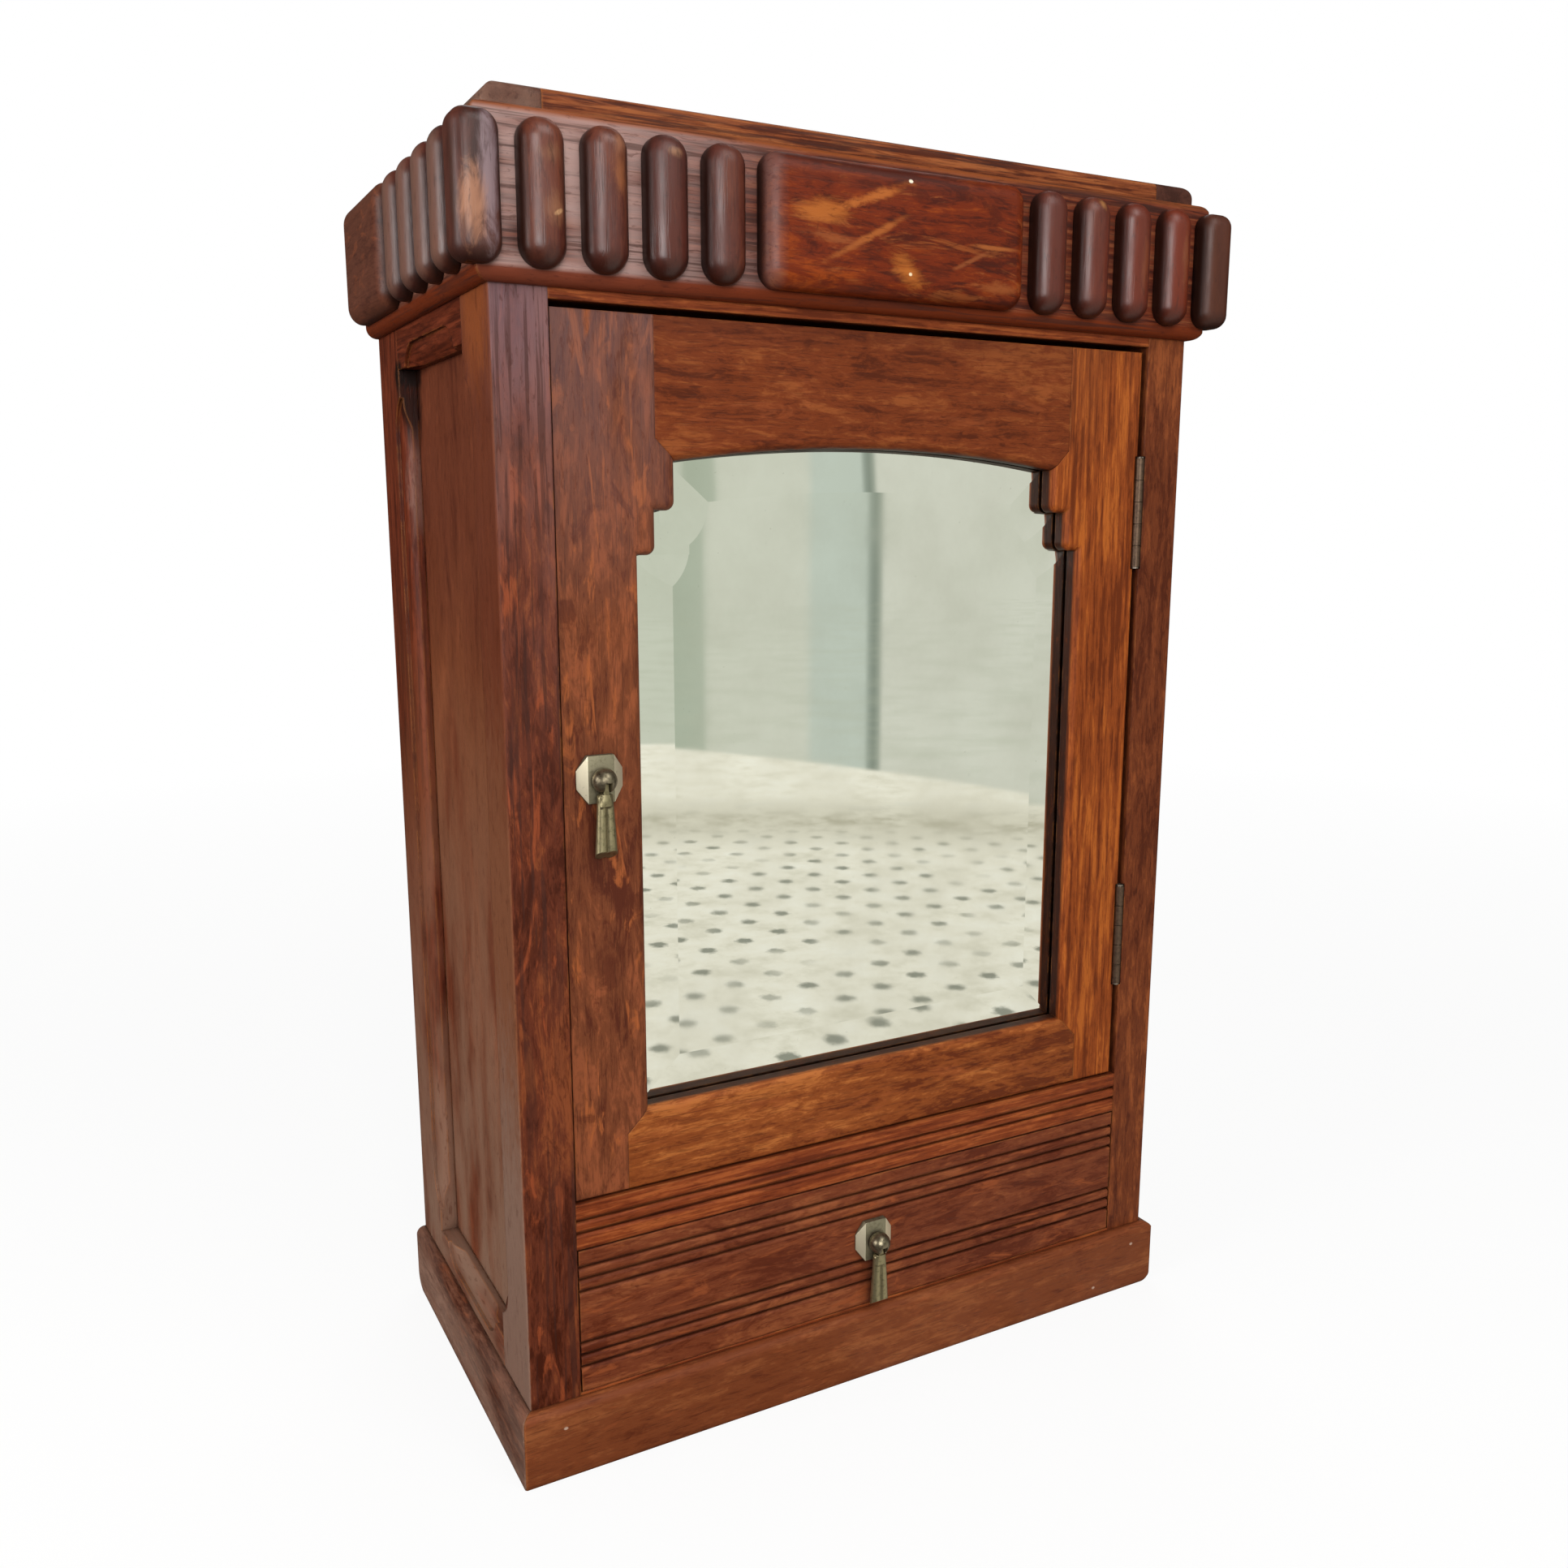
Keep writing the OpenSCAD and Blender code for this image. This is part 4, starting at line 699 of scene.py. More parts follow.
@dataclass
class Carcass:
    """The case: posts, rear stiles, framed sides, rails, top and back.

    Attributes:
        floor_grey: Height in mm up to which the left side is coloured paler and greyer towards the floor.
    """

    floor_grey: float = 420.0

    def finish(self) -> None:
        """Dresses every board of the case by its own cut and grain."""
        post = StainedOak(
            "waxed oak, purplish", "41190b", "602d1b", "804224", Figure.FLECKED, wear=0.35, fleck="8f4526",
            lines=0.6,
            # Painted sheen: the post's front turns a purple-grey haze at the top and pinkish lower down.
            blooms_and_painted_light=(BloomAndPaintedLight("636e88", 640, 530, 1.0), BloomAndPaintedLight("84584e", 600, 350, 0.75)),
            patches=(Patch((-210, -82, 400), (0.9, 80, 500), "632f1a", 0.1, 0.85),
                     Patch((-210, -78, 610), (0.9, 30, 60), "874620", 0.4, 0.8),
                     Patch((-210, -80, 250), (0.9, 60, 190), "774a32", 0.3, 0.85),
                     Patch((-210, -80, 40), (0.9, 60, 230), "82685a", 0.3, 0.8)))
        plain = StainedOak("waxed oak, red brown", "4d200e", "69331a", "884825", wear=0.35)
        # Painted shadow with dark stain: at the stopped mouldings' top ends, the deep pockets that lie in
        # shade are coloured near black, fading down the reveal below.
        stain_and_shadow = (Patch((0, 75, 579), (2000, 12, 10), "0e0604", 0.3, 0.97),
                Patch((0, 75, 562), (2000, 9, 26), "1c0c08", 0.6, 0.85))
        faded = Patch((0, 75, 520), (2000, 6, 38), "8c6a5e", 0.9, 0.45)
        side = StainedOak(
            "waxed oak side frame", "46190a", "5c2512", "72321b", Figure.STRAIGHT, wear=0.6,
            patches=(faded, *stain_and_shadow),
            blooms_and_painted_light=(BloomAndPaintedLight("7e4a30", 300, 470, 0.6), BloomAndPaintedLight("866b5a", 60, 340, 0.75)))
        panel = StainedOak(
            "waxed oak panel", "502314", "683420", "85472d", Figure.CALM, wear=0.2, gain=4.0, patches=stain_and_shadow,
            blooms_and_painted_light=(BloomAndPaintedLight("86502f", 360, 500, 0.55), BloomAndPaintedLight("866b5a", 60, self.floor_grey, 0.75)))
        rail = StainedOak("waxed oak rail", "602811", "7e3a1b", "9d5228", Figure.STRAIGHT)
        top = StainedOak(
            "waxed oak top", "4e2211", "7c4021", "95552e", Figure.LINED, worn="b06a34", wear=0.9, lines=0.7)
        end_grain = StainedOak(
            "oak end grain", "3a1f17", "4c2b21", "5f3a2c", Figure.CALM, wear=0.2,
            # Painted light: the left cleat is coloured paler than the right one, as the light comes from the
            # left.
            blooms_and_painted_light=(BloomAndPaintedLight("8a6c5c", -200, -150, 0.75, "X"),))
        dress("left_front_post", post.material(Grain.UP, 3, "left post"))
        dress("right_front_post", plain.material(Grain.UP, 8, "right post"))
        dress_boards(11, 7,
                     ("left_rear_stile", side, Grain.UP), ("right_rear_stile", side, Grain.UP),
                     ("left_top_rail", side, Grain.DEEP), ("right_top_rail", side, Grain.DEEP),
                     ("left_bottom_rail", side, Grain.DEEP), ("right_bottom_rail", side, Grain.DEEP),
                     ("left_side_panel", panel, Grain.UP), ("right_side_panel", panel, Grain.UP),
                     ("head_rail", rail, Grain.ACROSS), ("reeded_rail", rail, Grain.ACROSS),
                     ("front_bottom_rail", rail, Grain.ACROSS), ("top_board", top, Grain.ACROSS),
                     ("top_cleats", end_grain, Grain.DEEP))


@dataclass
class Plinth:
    """Three boards round the foot, rounded on top and worn at the corners.

    Attributes:
        specks: Places of pale chips on the front board, X and Z in mm.
    """

    specks: tuple[tuple[float, float], ...] = ((198, 30), (167, 7), (-193, 29))

    def finish(self) -> None:
        """Dresses the boards."""
        chips = tuple(Patch((x, -107, z), (1.5, 4, 1.1), "b89a86", 0.3) for x, z in self.specks)
        front = StainedOak(
            "waxed oak plinth", "5b2915", "753c20", "8f522e", wear=0.7, worn="9c6238", gain=4.0,
            dashes=0.25, patches=chips)
        side = StainedOak(
            "waxed oak plinth side", "472317", "6a402e", "885f4d", wear=0.7, worn="a58068",
            blooms_and_painted_light=(BloomAndPaintedLight("93796a", 10, 60, 0.5),))
        dress("plinth_front", front.material(Grain.ACROSS, 5, "front"))
        dress("plinth_left", side.material(Grain.DEEP, 9, "left"))
        dress("plinth_right", side.material(Grain.DEEP, 14, "right"))


# Relief of the carvings: painted shade and dirt start early and reach far out of the gaps between them,
# darkening the ribs' flanks.
RELIEF = {"dirt_and_shade": 0.95, "dirt_and_shade_mm": 16, "shade": (0.03, 0.32), "bump": 0.2, "gain": 3.4}


@dataclass
class Cornice:
    """The frieze with its applied ribs and blocks. Sizes are in mm.

    Attributes:
        rib_w: Width of a rib.
        rib_len: Height of ribs and blocks.
        out: How far they stand out from the frieze.
        round: Width of the rounding over the blocks' front edges.
        rib_round: Width of the rounding over the ribs' front edges.
        squash: Depth of a rounding as a share of its width.
        rib_corner: Radius of the ribs' corners.
        corner: Radius of the blocks' corners.
        mid_z: Height of their middle.
        front_y: Y of the frieze's front face.
        side_x: X of the frieze's side face, to the right.
        front_at: X of the front ribs, right of the middle.
        side_at: Y of the side ribs.
        centre_w: Width of the centre block.
        rear_w: Width of a rear block.
        rear_at: Y of a rear block's middle.
    """

    rib_w: float = 21.5
    rib_len: float = 63.0
    out: float = 11.0
    round: float = 9.2
    rib_round: float = 9.6
    squash: float = 0.85
    rib_corner: float = 10.0
    corner: float = 9.5
    mid_z: float = 640.5
    front_y: float = -108.0
    side_x: float = 217.0
    front_at: tuple[float, ...] = (97.15, 127.05, 156.95, 186.85)
    side_at: tuple[float, ...] = (-77.85, -47.95, -18.05, 11.85)
    centre_w: float = 156.0
    rear_w: float = 88.0
    rear_at: float = 75.0

    def marks(self, depth: float, *rows: tuple) -> tuple[Patch, ...]:
        """Places marks on the carvings' front.

        Args:
            depth: How far each reaches into the wood, in mm.
            rows: X, Z, half width, half height, tone, and as far as given the ragged, share and tilt.

        Returns:
            The marks.
        """
        front = self.front_y - self.out
        return tuple(Patch((x, front, z), (wide, depth, high), *look) for x, z, wide, high, *look in rows)

    def rib_oak(self) -> StainedOak:
        """Gives the ribs' finish, with the front ribs' scuffs and chips, and painted sheen, highlights and
        shade.

        Returns:
            The finish.
        """
        scuffs = ((-185, 656, 7, 5, "7d5138"), (-183, 633, 7, 8, "8a5a3e"), (-151.5, 666, 4, 7, "946248"),
                  (-151, 650, 5, 11, "8c5230"), (-125, 664, 5, 3, "966a4c"), (129, 668, 3, 4, "a06c3c"),
                  (190, 645, 3, 22, "7a4024"), (160, 640, 4, 18, "74391f"))
        chips = self.marks(6, *((*scuff, 0.9, 0.8) for scuff in scuffs),
                           (-181.5, 632, 3.2, 1.2, "c39468", 0.3, 0.9, 30))
        return StainedOak(
            "carved oak, dark stain", "2d0f08", "502116", "6e3723", Figure.CALM, wear=0.1, worn="8b5a44",
            rough=0.36, gloss=0.42, patches=chips, **RELIEF,
            # Painted sheen and shade: a faint purple-grey sheen towards the top, the bottoms coloured near
            # black as the shade under them, and the side ribs' outer crests coloured pale as where the light
            # catches them.
            blooms_and_painted_light=(BloomAndPaintedLight("5c4240", 680, 600, 0.15), BloomAndPaintedLight("6a2309", 190, 60, 0.9, "X"),
                    BloomAndPaintedLight("240d08", 609, 621, 0.85, "Z", False),
                    BloomAndPaintedLight("76574a", -228, -223.5, 0.7, "X", False),
                    BloomAndPaintedLight("6a4a3a", 228, 223.5, 0.6, "X", False)))

    def corner_oak(self) -> StainedOak:
        """Gives the corner blocks' finish: on the left one's front a painted purple-grey sheen band, a worn
        orange place and edges painted dark as shade; the bottoms painted dark as shade.

        Returns:
            The finish.
        """
        # A painted sheen band down the left block's front, and a worn orange place beside it.
        sheen_and_wear = self.marks(8, (-212, 645, 6, 36, "907a7e", 0.6, 0.75),
                              (-220, 631, 7, 19, "a26f52", 0.6, 0.85))
        # Painted shade: both edges of the left block's front are coloured dark.
        edges = (Patch((-229, -116, 640), (3, 6, 44), "3a2016", 0.15, 0.8),
                 Patch((-203.5, -116, 640), (2.6, 6, 44), "2a140e", 0.15, 0.85))
        return StainedOak(
            "carved oak, corner block", "32140e", "4f271d", "6a3b29", Figure.CALM, wear=0.2, rough=0.42,
            gloss=0.35, patches=(*sheen_and_wear, *edges), **RELIEF,
            # The second cast paints the bottoms near black, as the shade under them.
            blooms_and_painted_light=(BloomAndPaintedLight("50240f", 228, 150, 0.95, "X"), BloomAndPaintedLight("240d08", 609, 619, 0.85, "Z", False)))

    def centre_oak(self) -> StainedOak:
        """Gives the centre block's finish, rubbed to orange in streaks and chipped twice, with a painted
        sheen band down its left edge.

        Returns:
            The finish.
        """
        streaks = self.marks(
            8, (-48, 646, 19, 7, "a65c24", 0.6, 0.95, 6), (-20, 655, 26, 3, "a85c26", 0.7, 1.0, 20),
            (-22, 636, 28, 2.4, "a05826", 0.6, 0.9, 28), (-40, 634, 22, 3, "8c4a24", 0.9, 0.8, -6),
            (3, 622, 13, 7, "ac6124", 0.75, 0.95, -35), (40, 630, 14, 1.6, "8c4b26", 0.5, 0.8, 25),
            (56, 638, 18, 1.4, "9c5628", 0.5, 0.9), (60, 618, 16, 3, "8c4a22", 0.8, 0.85))
        chips = self.marks(6, (3.3, 665, 1.5, 1.1, "efe0c8", 0.2), (3.7, 620.8, 1.3, 1.1, "f0d9b0", 0.2))
        return StainedOak(
            "carved oak, rubbed through", "461303", "6b2406", "89390b", Figure.FLECKED, wear=0.1,
            fleck="8c481f", rough=0.4, gloss=0.18, dirt_and_shade=0.95, dirt_and_shade_mm=14, shade=(0.06, 0.5), bump=0.15,
            patches=(*streaks, *chips),
            # The second cast is a painted sheen: a purple-grey band down the left edge.
            blooms_and_painted_light=(BloomAndPaintedLight("45211a", 680, 656, 0.8), BloomAndPaintedLight("6f514b", -75, -66, 0.6, "X", False)))

    def block(self, width: float, corner: float, rounding: float) -> bpy.types.Object:
        """Shapes a rounded block that stands out towards -Y from the plane Y = 0.

        Args:
            width: Its width in mm.
            corner: Radius of its four corners in mm.
            rounding: Width of the rounding over its front edges in mm.

        Returns:
            The block, in object mode at the origin.
        """
        w, h, d = width * MM, self.rib_len * MM, self.out * MM / self.squash
        bpy.ops.object.select_all(action="DESELECT")
        bpy.ops.mesh.primitive_cube_add(size=1, location=(0, 0, 0))
        obj = bpy.context.active_object
        bpy.ops.object.mode_set(mode="EDIT")
        bpy.ops.mesh.select_all(action="SELECT")
        bpy.ops.transform.resize(value=(w, d, h))
        bpy.ops.transform.translate(value=(0, -d / 2, 0))
        pick(obj, "EDGE", lambda e: abs(e.verts[0].co.y - e.verts[1].co.y) > d / 2)
        bpy.ops.mesh.bevel(offset=corner * MM, segments=9, profile=0.5)
        pick(obj, "EDGE", lambda e: all(v.co.y < -d + 1e-6 for v in e.verts))
        bpy.ops.mesh.bevel(offset=rounding * MM, segments=10, profile=0.5)
        bpy.ops.mesh.select_all(action="SELECT")
        bpy.ops.transform.resize(value=(1, self.squash, 1), center_override=(0, 0, 0))
        return settle(obj, "block", 50)

    def beside(self, side: int, y: float) -> Matrix:
        """Gives the place of a carving at y mm on the side frieze, left for -1 and right for 1."""
        place = Matrix.Translation((side * self.side_x * MM, y * MM, self.mid_z * MM))
        return place @ Matrix.Rotation(side * math.pi / 2, 4, "Z")

    def build(self) -> None:
        """Carves the ribs and blocks and stands them for their solids."""
        carved, worn, arm = self.rib_oak(), self.centre_oak(), self.corner_oak()
        rear = StainedOak(
            "carved oak, side block", "482318", "603525", "784533", wear=0.15, rough=0.42, gloss=0.3,
            **RELIEF)
        rib = (self.rib_w, self.rib_corner, self.rib_round)
        up = Matrix.Translation((0, self.front_y * MM, self.mid_z * MM))
        spots = [Matrix.Translation((side * x * MM, 0, 0)) @ up for side in (-1, 1) for x in self.front_at]
        piece = copies(self.block(*rib), spots, "front_rib_carvings")
        stand_for(piece, "case", "oak_dark", carved.material(Grain.UP, 4, "front ribs"), "front_ribs")
        for side, word in ((-1, "left"), (1, "right")):
            spots = [self.beside(side, y) for y in self.side_at]
            piece = copies(self.block(*rib), spots, f"{word}_rib_carvings")
            finish = carved.material(Grain.UP, 6 + side, f"{word} ribs")
            stand_for(piece, "case", "oak_dark", finish, f"{word}_ribs")
        piece = copies(self.block(self.centre_w, self.corner, self.round), [up], "centre_block_carving")
        stand_for(piece, "case", "oak_dark", worn.material(Grain.ACROSS, 2, "centre block"), "centre_block")
        spots = [self.beside(side, self.rear_at) for side in (-1, 1)]
        piece = copies(self.block(self.rear_w, self.corner, self.round), spots, "rear_block_carvings")
        stand_for(piece, "case", "oak_dark", rear.material(Grain.DEEP, 12, "rear blocks"), "rear_blocks")
        piece = smooth_twin("corner_blocks", "corner_block_carvings", 40)
        stand_for(piece, "case", "oak_dark", arm.material(Grain.UP, 17, "corner blocks"), "corner_blocks")

    def finish(self) -> None:
        """Dresses the frieze boards behind the ribs."""
        # Wear and painted highlight: the rounded lower and upper edges are coloured red-brown and orange, as
        # where they are rubbed and catch the light.
        ends = (BloomAndPaintedLight("6c2a0e", 608.5, 611, 0.95, "Z", False), BloomAndPaintedLight("8a4822", 676, 673.5, 0.9, "Z", False))
        front = StainedOak(
            "waxed oak frieze", "401a12", "682e1b", "7d442a", Figure.LINED, wear=0.9, worn="9b5a30",
            # Dust and painted sheen: the front's ground is coloured pale pinkish grey at the left, fading out
            # towards the middle.
            lines=0.65, dirt_and_shade=0.4, blooms_and_painted_light=(BloomAndPaintedLight("b6978f", -190, -50, 1.0, "X"), *ends))
        side = StainedOak(
            "waxed oak side frieze", "401c14", "6b4234", "805444", Figure.LINED, wear=0.9, worn="9b5a30",
            lines=0.6, dirt_and_shade=0.6, blooms_and_painted_light=ends)
        dress("frieze_front", front.material(Grain.ACROSS, 19, "front"))
        dress("frieze_left", side.material(Grain.DEEP, 23, "left"))
        dress("frieze_right", side.material(Grain.DEEP, 29, "right"))


@dataclass
class MirrorDoor:
    """The stepped and arched door frame, its mirror and what holds the mirror in."""

    def finish(self) -> None:
        """Dresses the frame, the mirror and its backs."""
        # Painted shade: the rebate behind the sight edge is coloured near black, as it lies in shadow, and so
        # shows dark in the glass too.
        rebate_shade = BloomAndPaintedLight("220d07", -94.5, -97, 0.92, "Y", False, -78)
        left = StainedOak(
            "waxed oak, flecked", "522516", "6e3b23", "8b4c2e", Figure.FLECKED, wear=0.25, fleck="a45a30",
            blooms_and_painted_light=(BloomAndPaintedLight("6d5250", 600, 450, 0.65), rebate_shade),
            patches=(Patch((-163, -101, 594), (3, 6, 16), "a0562c", 0.8, 0.8),
                     Patch((-150, -101, 600), (2.5, 6, 10), "98522c", 0.8, 0.8)))
        right = StainedOak(
            "waxed oak, straight grained", "642b0e", "884119", "ab5b23", Figure.STRAIGHT, wear=0.4,
            worn="b06a32", blooms_and_painted_light=(BloomAndPaintedLight("784224", 600, 520, 0.35), rebate_shade))
        top = StainedOak(
            "waxed oak top rail", "50210d", "703316", "894822", wear=0.25,
            blooms_and_painted_light=(BloomAndPaintedLight("4f2416", 604, 580, 0.7), rebate_shade))
        low = StainedOak("waxed oak bottom rail", "602a10", "86451e", "ac6430", blooms_and_painted_light=(rebate_shade,))
        back = StainedOak("plain oak backing", "7a5432", "94683f", "a87c50", wear=0.2, rough=0.6)
        dress("door_left_stile", left.material(Grain.UP, 31, "left stile"))
        dress("door_right_stile", right.material(Grain.UP, 37, "right stile"))
        dress("door_top_rail", top.material(Grain.ACROSS, 41, "top rail"))
        dress("door_bottom_rail", low.material(Grain.ACROSS, 43, "bottom rail"))
        dress("mirror_backing", back.material(Grain.UP, 47, "backing"))
        dress("mirror_beads", left.material(Grain.UP, 53, "beads"))
        dress("mirror_glass", SilveredGlass().material())


@dataclass
class Drawer:
    """The reeded drawer front and its dovetailed box."""

    def finish(self) -> None:
        """Dresses the drawer's boards."""
        front = StainedOak(
            "waxed oak drawer front", "582512", "713820", "8a4c2c", Figure.FLECKED, fleck="8f4a28")
        box = StainedOak("plain oak drawer box", "7f5833", "9c7045", "b48858", worn="c09a6c", wear=0.3,
                         rough=0.6)
        dress("drawer_front", front.material(Grain.ACROSS, 59, "front"))
        dress_boards(61, 5, ("drawer_left_side", box, Grain.DEEP), ("drawer_right_side", box, Grain.DEEP),
                     ("drawer_back", box, Grain.ACROSS), ("drawer_bottom", box, Grain.ACROSS))


@dataclass
class Interior:
    """Boards that show when the door or drawer is open, and the back."""

    def finish(self) -> None:
        """Dresses them as plain planed oak, the back as a wide flat-sawn board."""
        inside = StainedOak("plain oak inside", "7a5431", "946a41", "ab8154", worn="bb9464", wear=0.3,
                            rough=0.6)
        back = StainedOak("plain oak back", "664527", "825a36", "9a7048", wear=0.2, rough=0.66)
        dress_boards(71, 3, ("case_bottom", inside, Grain.ACROSS), ("drawer_divider", inside, Grain.ACROSS),
                     ("shelves", inside, Grain.ACROSS), ("shelf_battens", inside, Grain.DEEP),
                     ("drawer_guides", inside, Grain.DEEP), ("drawer_stops", inside, Grain.DEEP),
                     ("hanging_rail", inside, Grain.ACROSS))
        dress("back_panel", back.material(Grain.UP, 97, "back panel"))


@dataclass
class Hardware:
    """Hinges, catch and the two drop pulls. Sizes are in mm.

    Attributes:
        plate_w: Width of a pull's back plate.
        plate_h: Its height.
        plate_t: Its thickness along the middle strip.
        plate_edge: Its thickness at the sides.
        plate_flat: Width of the middle strip.
        plate_cut: Height of its cut corners.
        smooth: Degrees up to which round fittings are shaded as one.
    """

    plate_w: float = 24.5
    plate_h: float = 24.0
    plate_t: float = 3.5
    plate_edge: float = 0.8
    plate_flat: float = 13.8
    plate_cut: float = 7.4
    smooth: float = 35.0

    def finish(self) -> None:
        """Dresses the hinges and the catch, and smooths what is round."""
        barrel = AgedMetal("aged brass hinge", "5e4b3c", "3a2c23", 0.4, 0.55).material()
        steel = AgedMetal("dull steel pin", "8a8074", "5e5446", 0.4).material()
        for node in ("strike_plate", "case_hinge_screws", "door_hinge_screws", "ball_catch"):
            dress(node, barrel)
        for body in ("case", "door"):
            twin = smooth_twin(f"{body}_hinge_leaves", f"{body}_hinge_knuckles", self.smooth)
            stand_for(twin, body, "aged_brass", barrel, f"{body}_hinge_leaves")
        pins = smooth_twin("hinge_pins", "hinge_pin_rods", self.smooth)
        stand_for(pins, "case", "steel_pin", steel, "hinge_pins")

    def plate(self, name: str) -> bpy.types.Object:
        """Shapes an octagonal plate with a raised middle strip and two sloping facets.

        Args:
            name: Its name.

        Returns:
            The plate, with its back on Y = 0 and its middle at the origin.
        """
        w, h, t = self.plate_w * MM / 2, self.plate_h * MM / 2, self.plate_t * MM
        flat, side = self.plate_flat * MM / 2, h - self.plate_cut * MM
        eighth = math.pi / 8
        bpy.ops.object.select_all(action="DESELECT")
        bpy.ops.mesh.primitive_cylinder_add(vertices=8, radius=1 / math.cos(eighth), depth=1,
                                            end_fill_type="NGON", location=(0, 0, 0),
                                            rotation=(math.pi / 2, eighth, 0))
        obj = bpy.context.active_object
        bpy.ops.object.transform_apply(location=True, rotation=True, scale=True)
        bpy.ops.object.mode_set(mode="EDIT")
        bpy.ops.mesh.select_all(action="SELECT")
        bpy.ops.transform.resize(value=(w, t, h))
        bpy.ops.transform.translate(value=(0, -t / 2, 0))
        near = math.tan(eighth)
        pick(obj, "VERT", lambda v: abs(v.co.z) > h * 0.9)
        bpy.ops.transform.resize(value=(flat / (w * near), 1, 1), center_override=(0, 0, 0))
        pick(obj, "VERT", lambda v: abs(v.co.x) > w * 0.9)
        bpy.ops.transform.resize(value=(1, 1, side / (h * near)), center_override=(0, 0, 0))
        for x in (-flat, flat):
            bpy.ops.mesh.select_all(action="SELECT")
            bpy.ops.mesh.bisect(plane_co=(x, 0, 0), plane_no=(1, 0, 0))
        pick(obj, "VERT", lambda v: v.co.y < -t / 2 and abs(v.co.x) > w * 0.9)
        bpy.ops.transform.translate(value=(0, t - self.plate_edge * MM, 0))
        pick(obj, "EDGE", lambda e: all(v.co.y < -0.4 * MM for v in e.verts))
        bpy.ops.mesh.bevel(offset=0.25 * MM, segments=2, profile=0.5)
        return settle(obj, name, 25)

    def pulls(self) -> None:
        """Puts the two pulls on, each as a plate, a ball and a drop."""
        strip = AgedMetal("dull plated strip", "88816a", "635c48", 0.5).material()
        facet = AgedMetal("rubbed plated facet", "e4dabe", "887b5c", 0.42, 0.3).material()
        ball = AgedMetal("worn plated ball", "7e745f", "3e3628", 0.3, 0.6).material()
        drop = AgedMetal("aged brass drop", "908666", "4f482f", 0.36).material()
        for body, where in (("door", (-162.4, -99.0, 373.15)), ("drawer", (0.0, -101.0, 84.5))):
            plate = self.plate(f"{body}_pull_backplate")
            plate.data.transform(Matrix.Translation([v * MM for v in where]))
            plate.data.materials.append(strip)
            plate.data.materials.append(facet)
            for face in plate.data.polygons:
                side = abs(face.center.x - where[0] * MM) > self.plate_flat * MM / 2
                face.material_index = 1 if side and face.normal.y < -0.5 else 0
            stand_for(plate, body, "aged_brass", None, f"{body}_pull_plate")
            boss = smooth_twin(f"{body}_pull_boss", f"{body}_pull_ball", self.smooth)
            stand_for(boss, body, "aged_brass", ball, f"{body}_pull_boss")
            pendant = smooth_twin(f"{body}_pull_drop", f"{body}_pull_pendant", self.smooth)
            stand_for(pendant, f"{body}_drop", "aged_brass", drop, f"{body}_pull_drop")


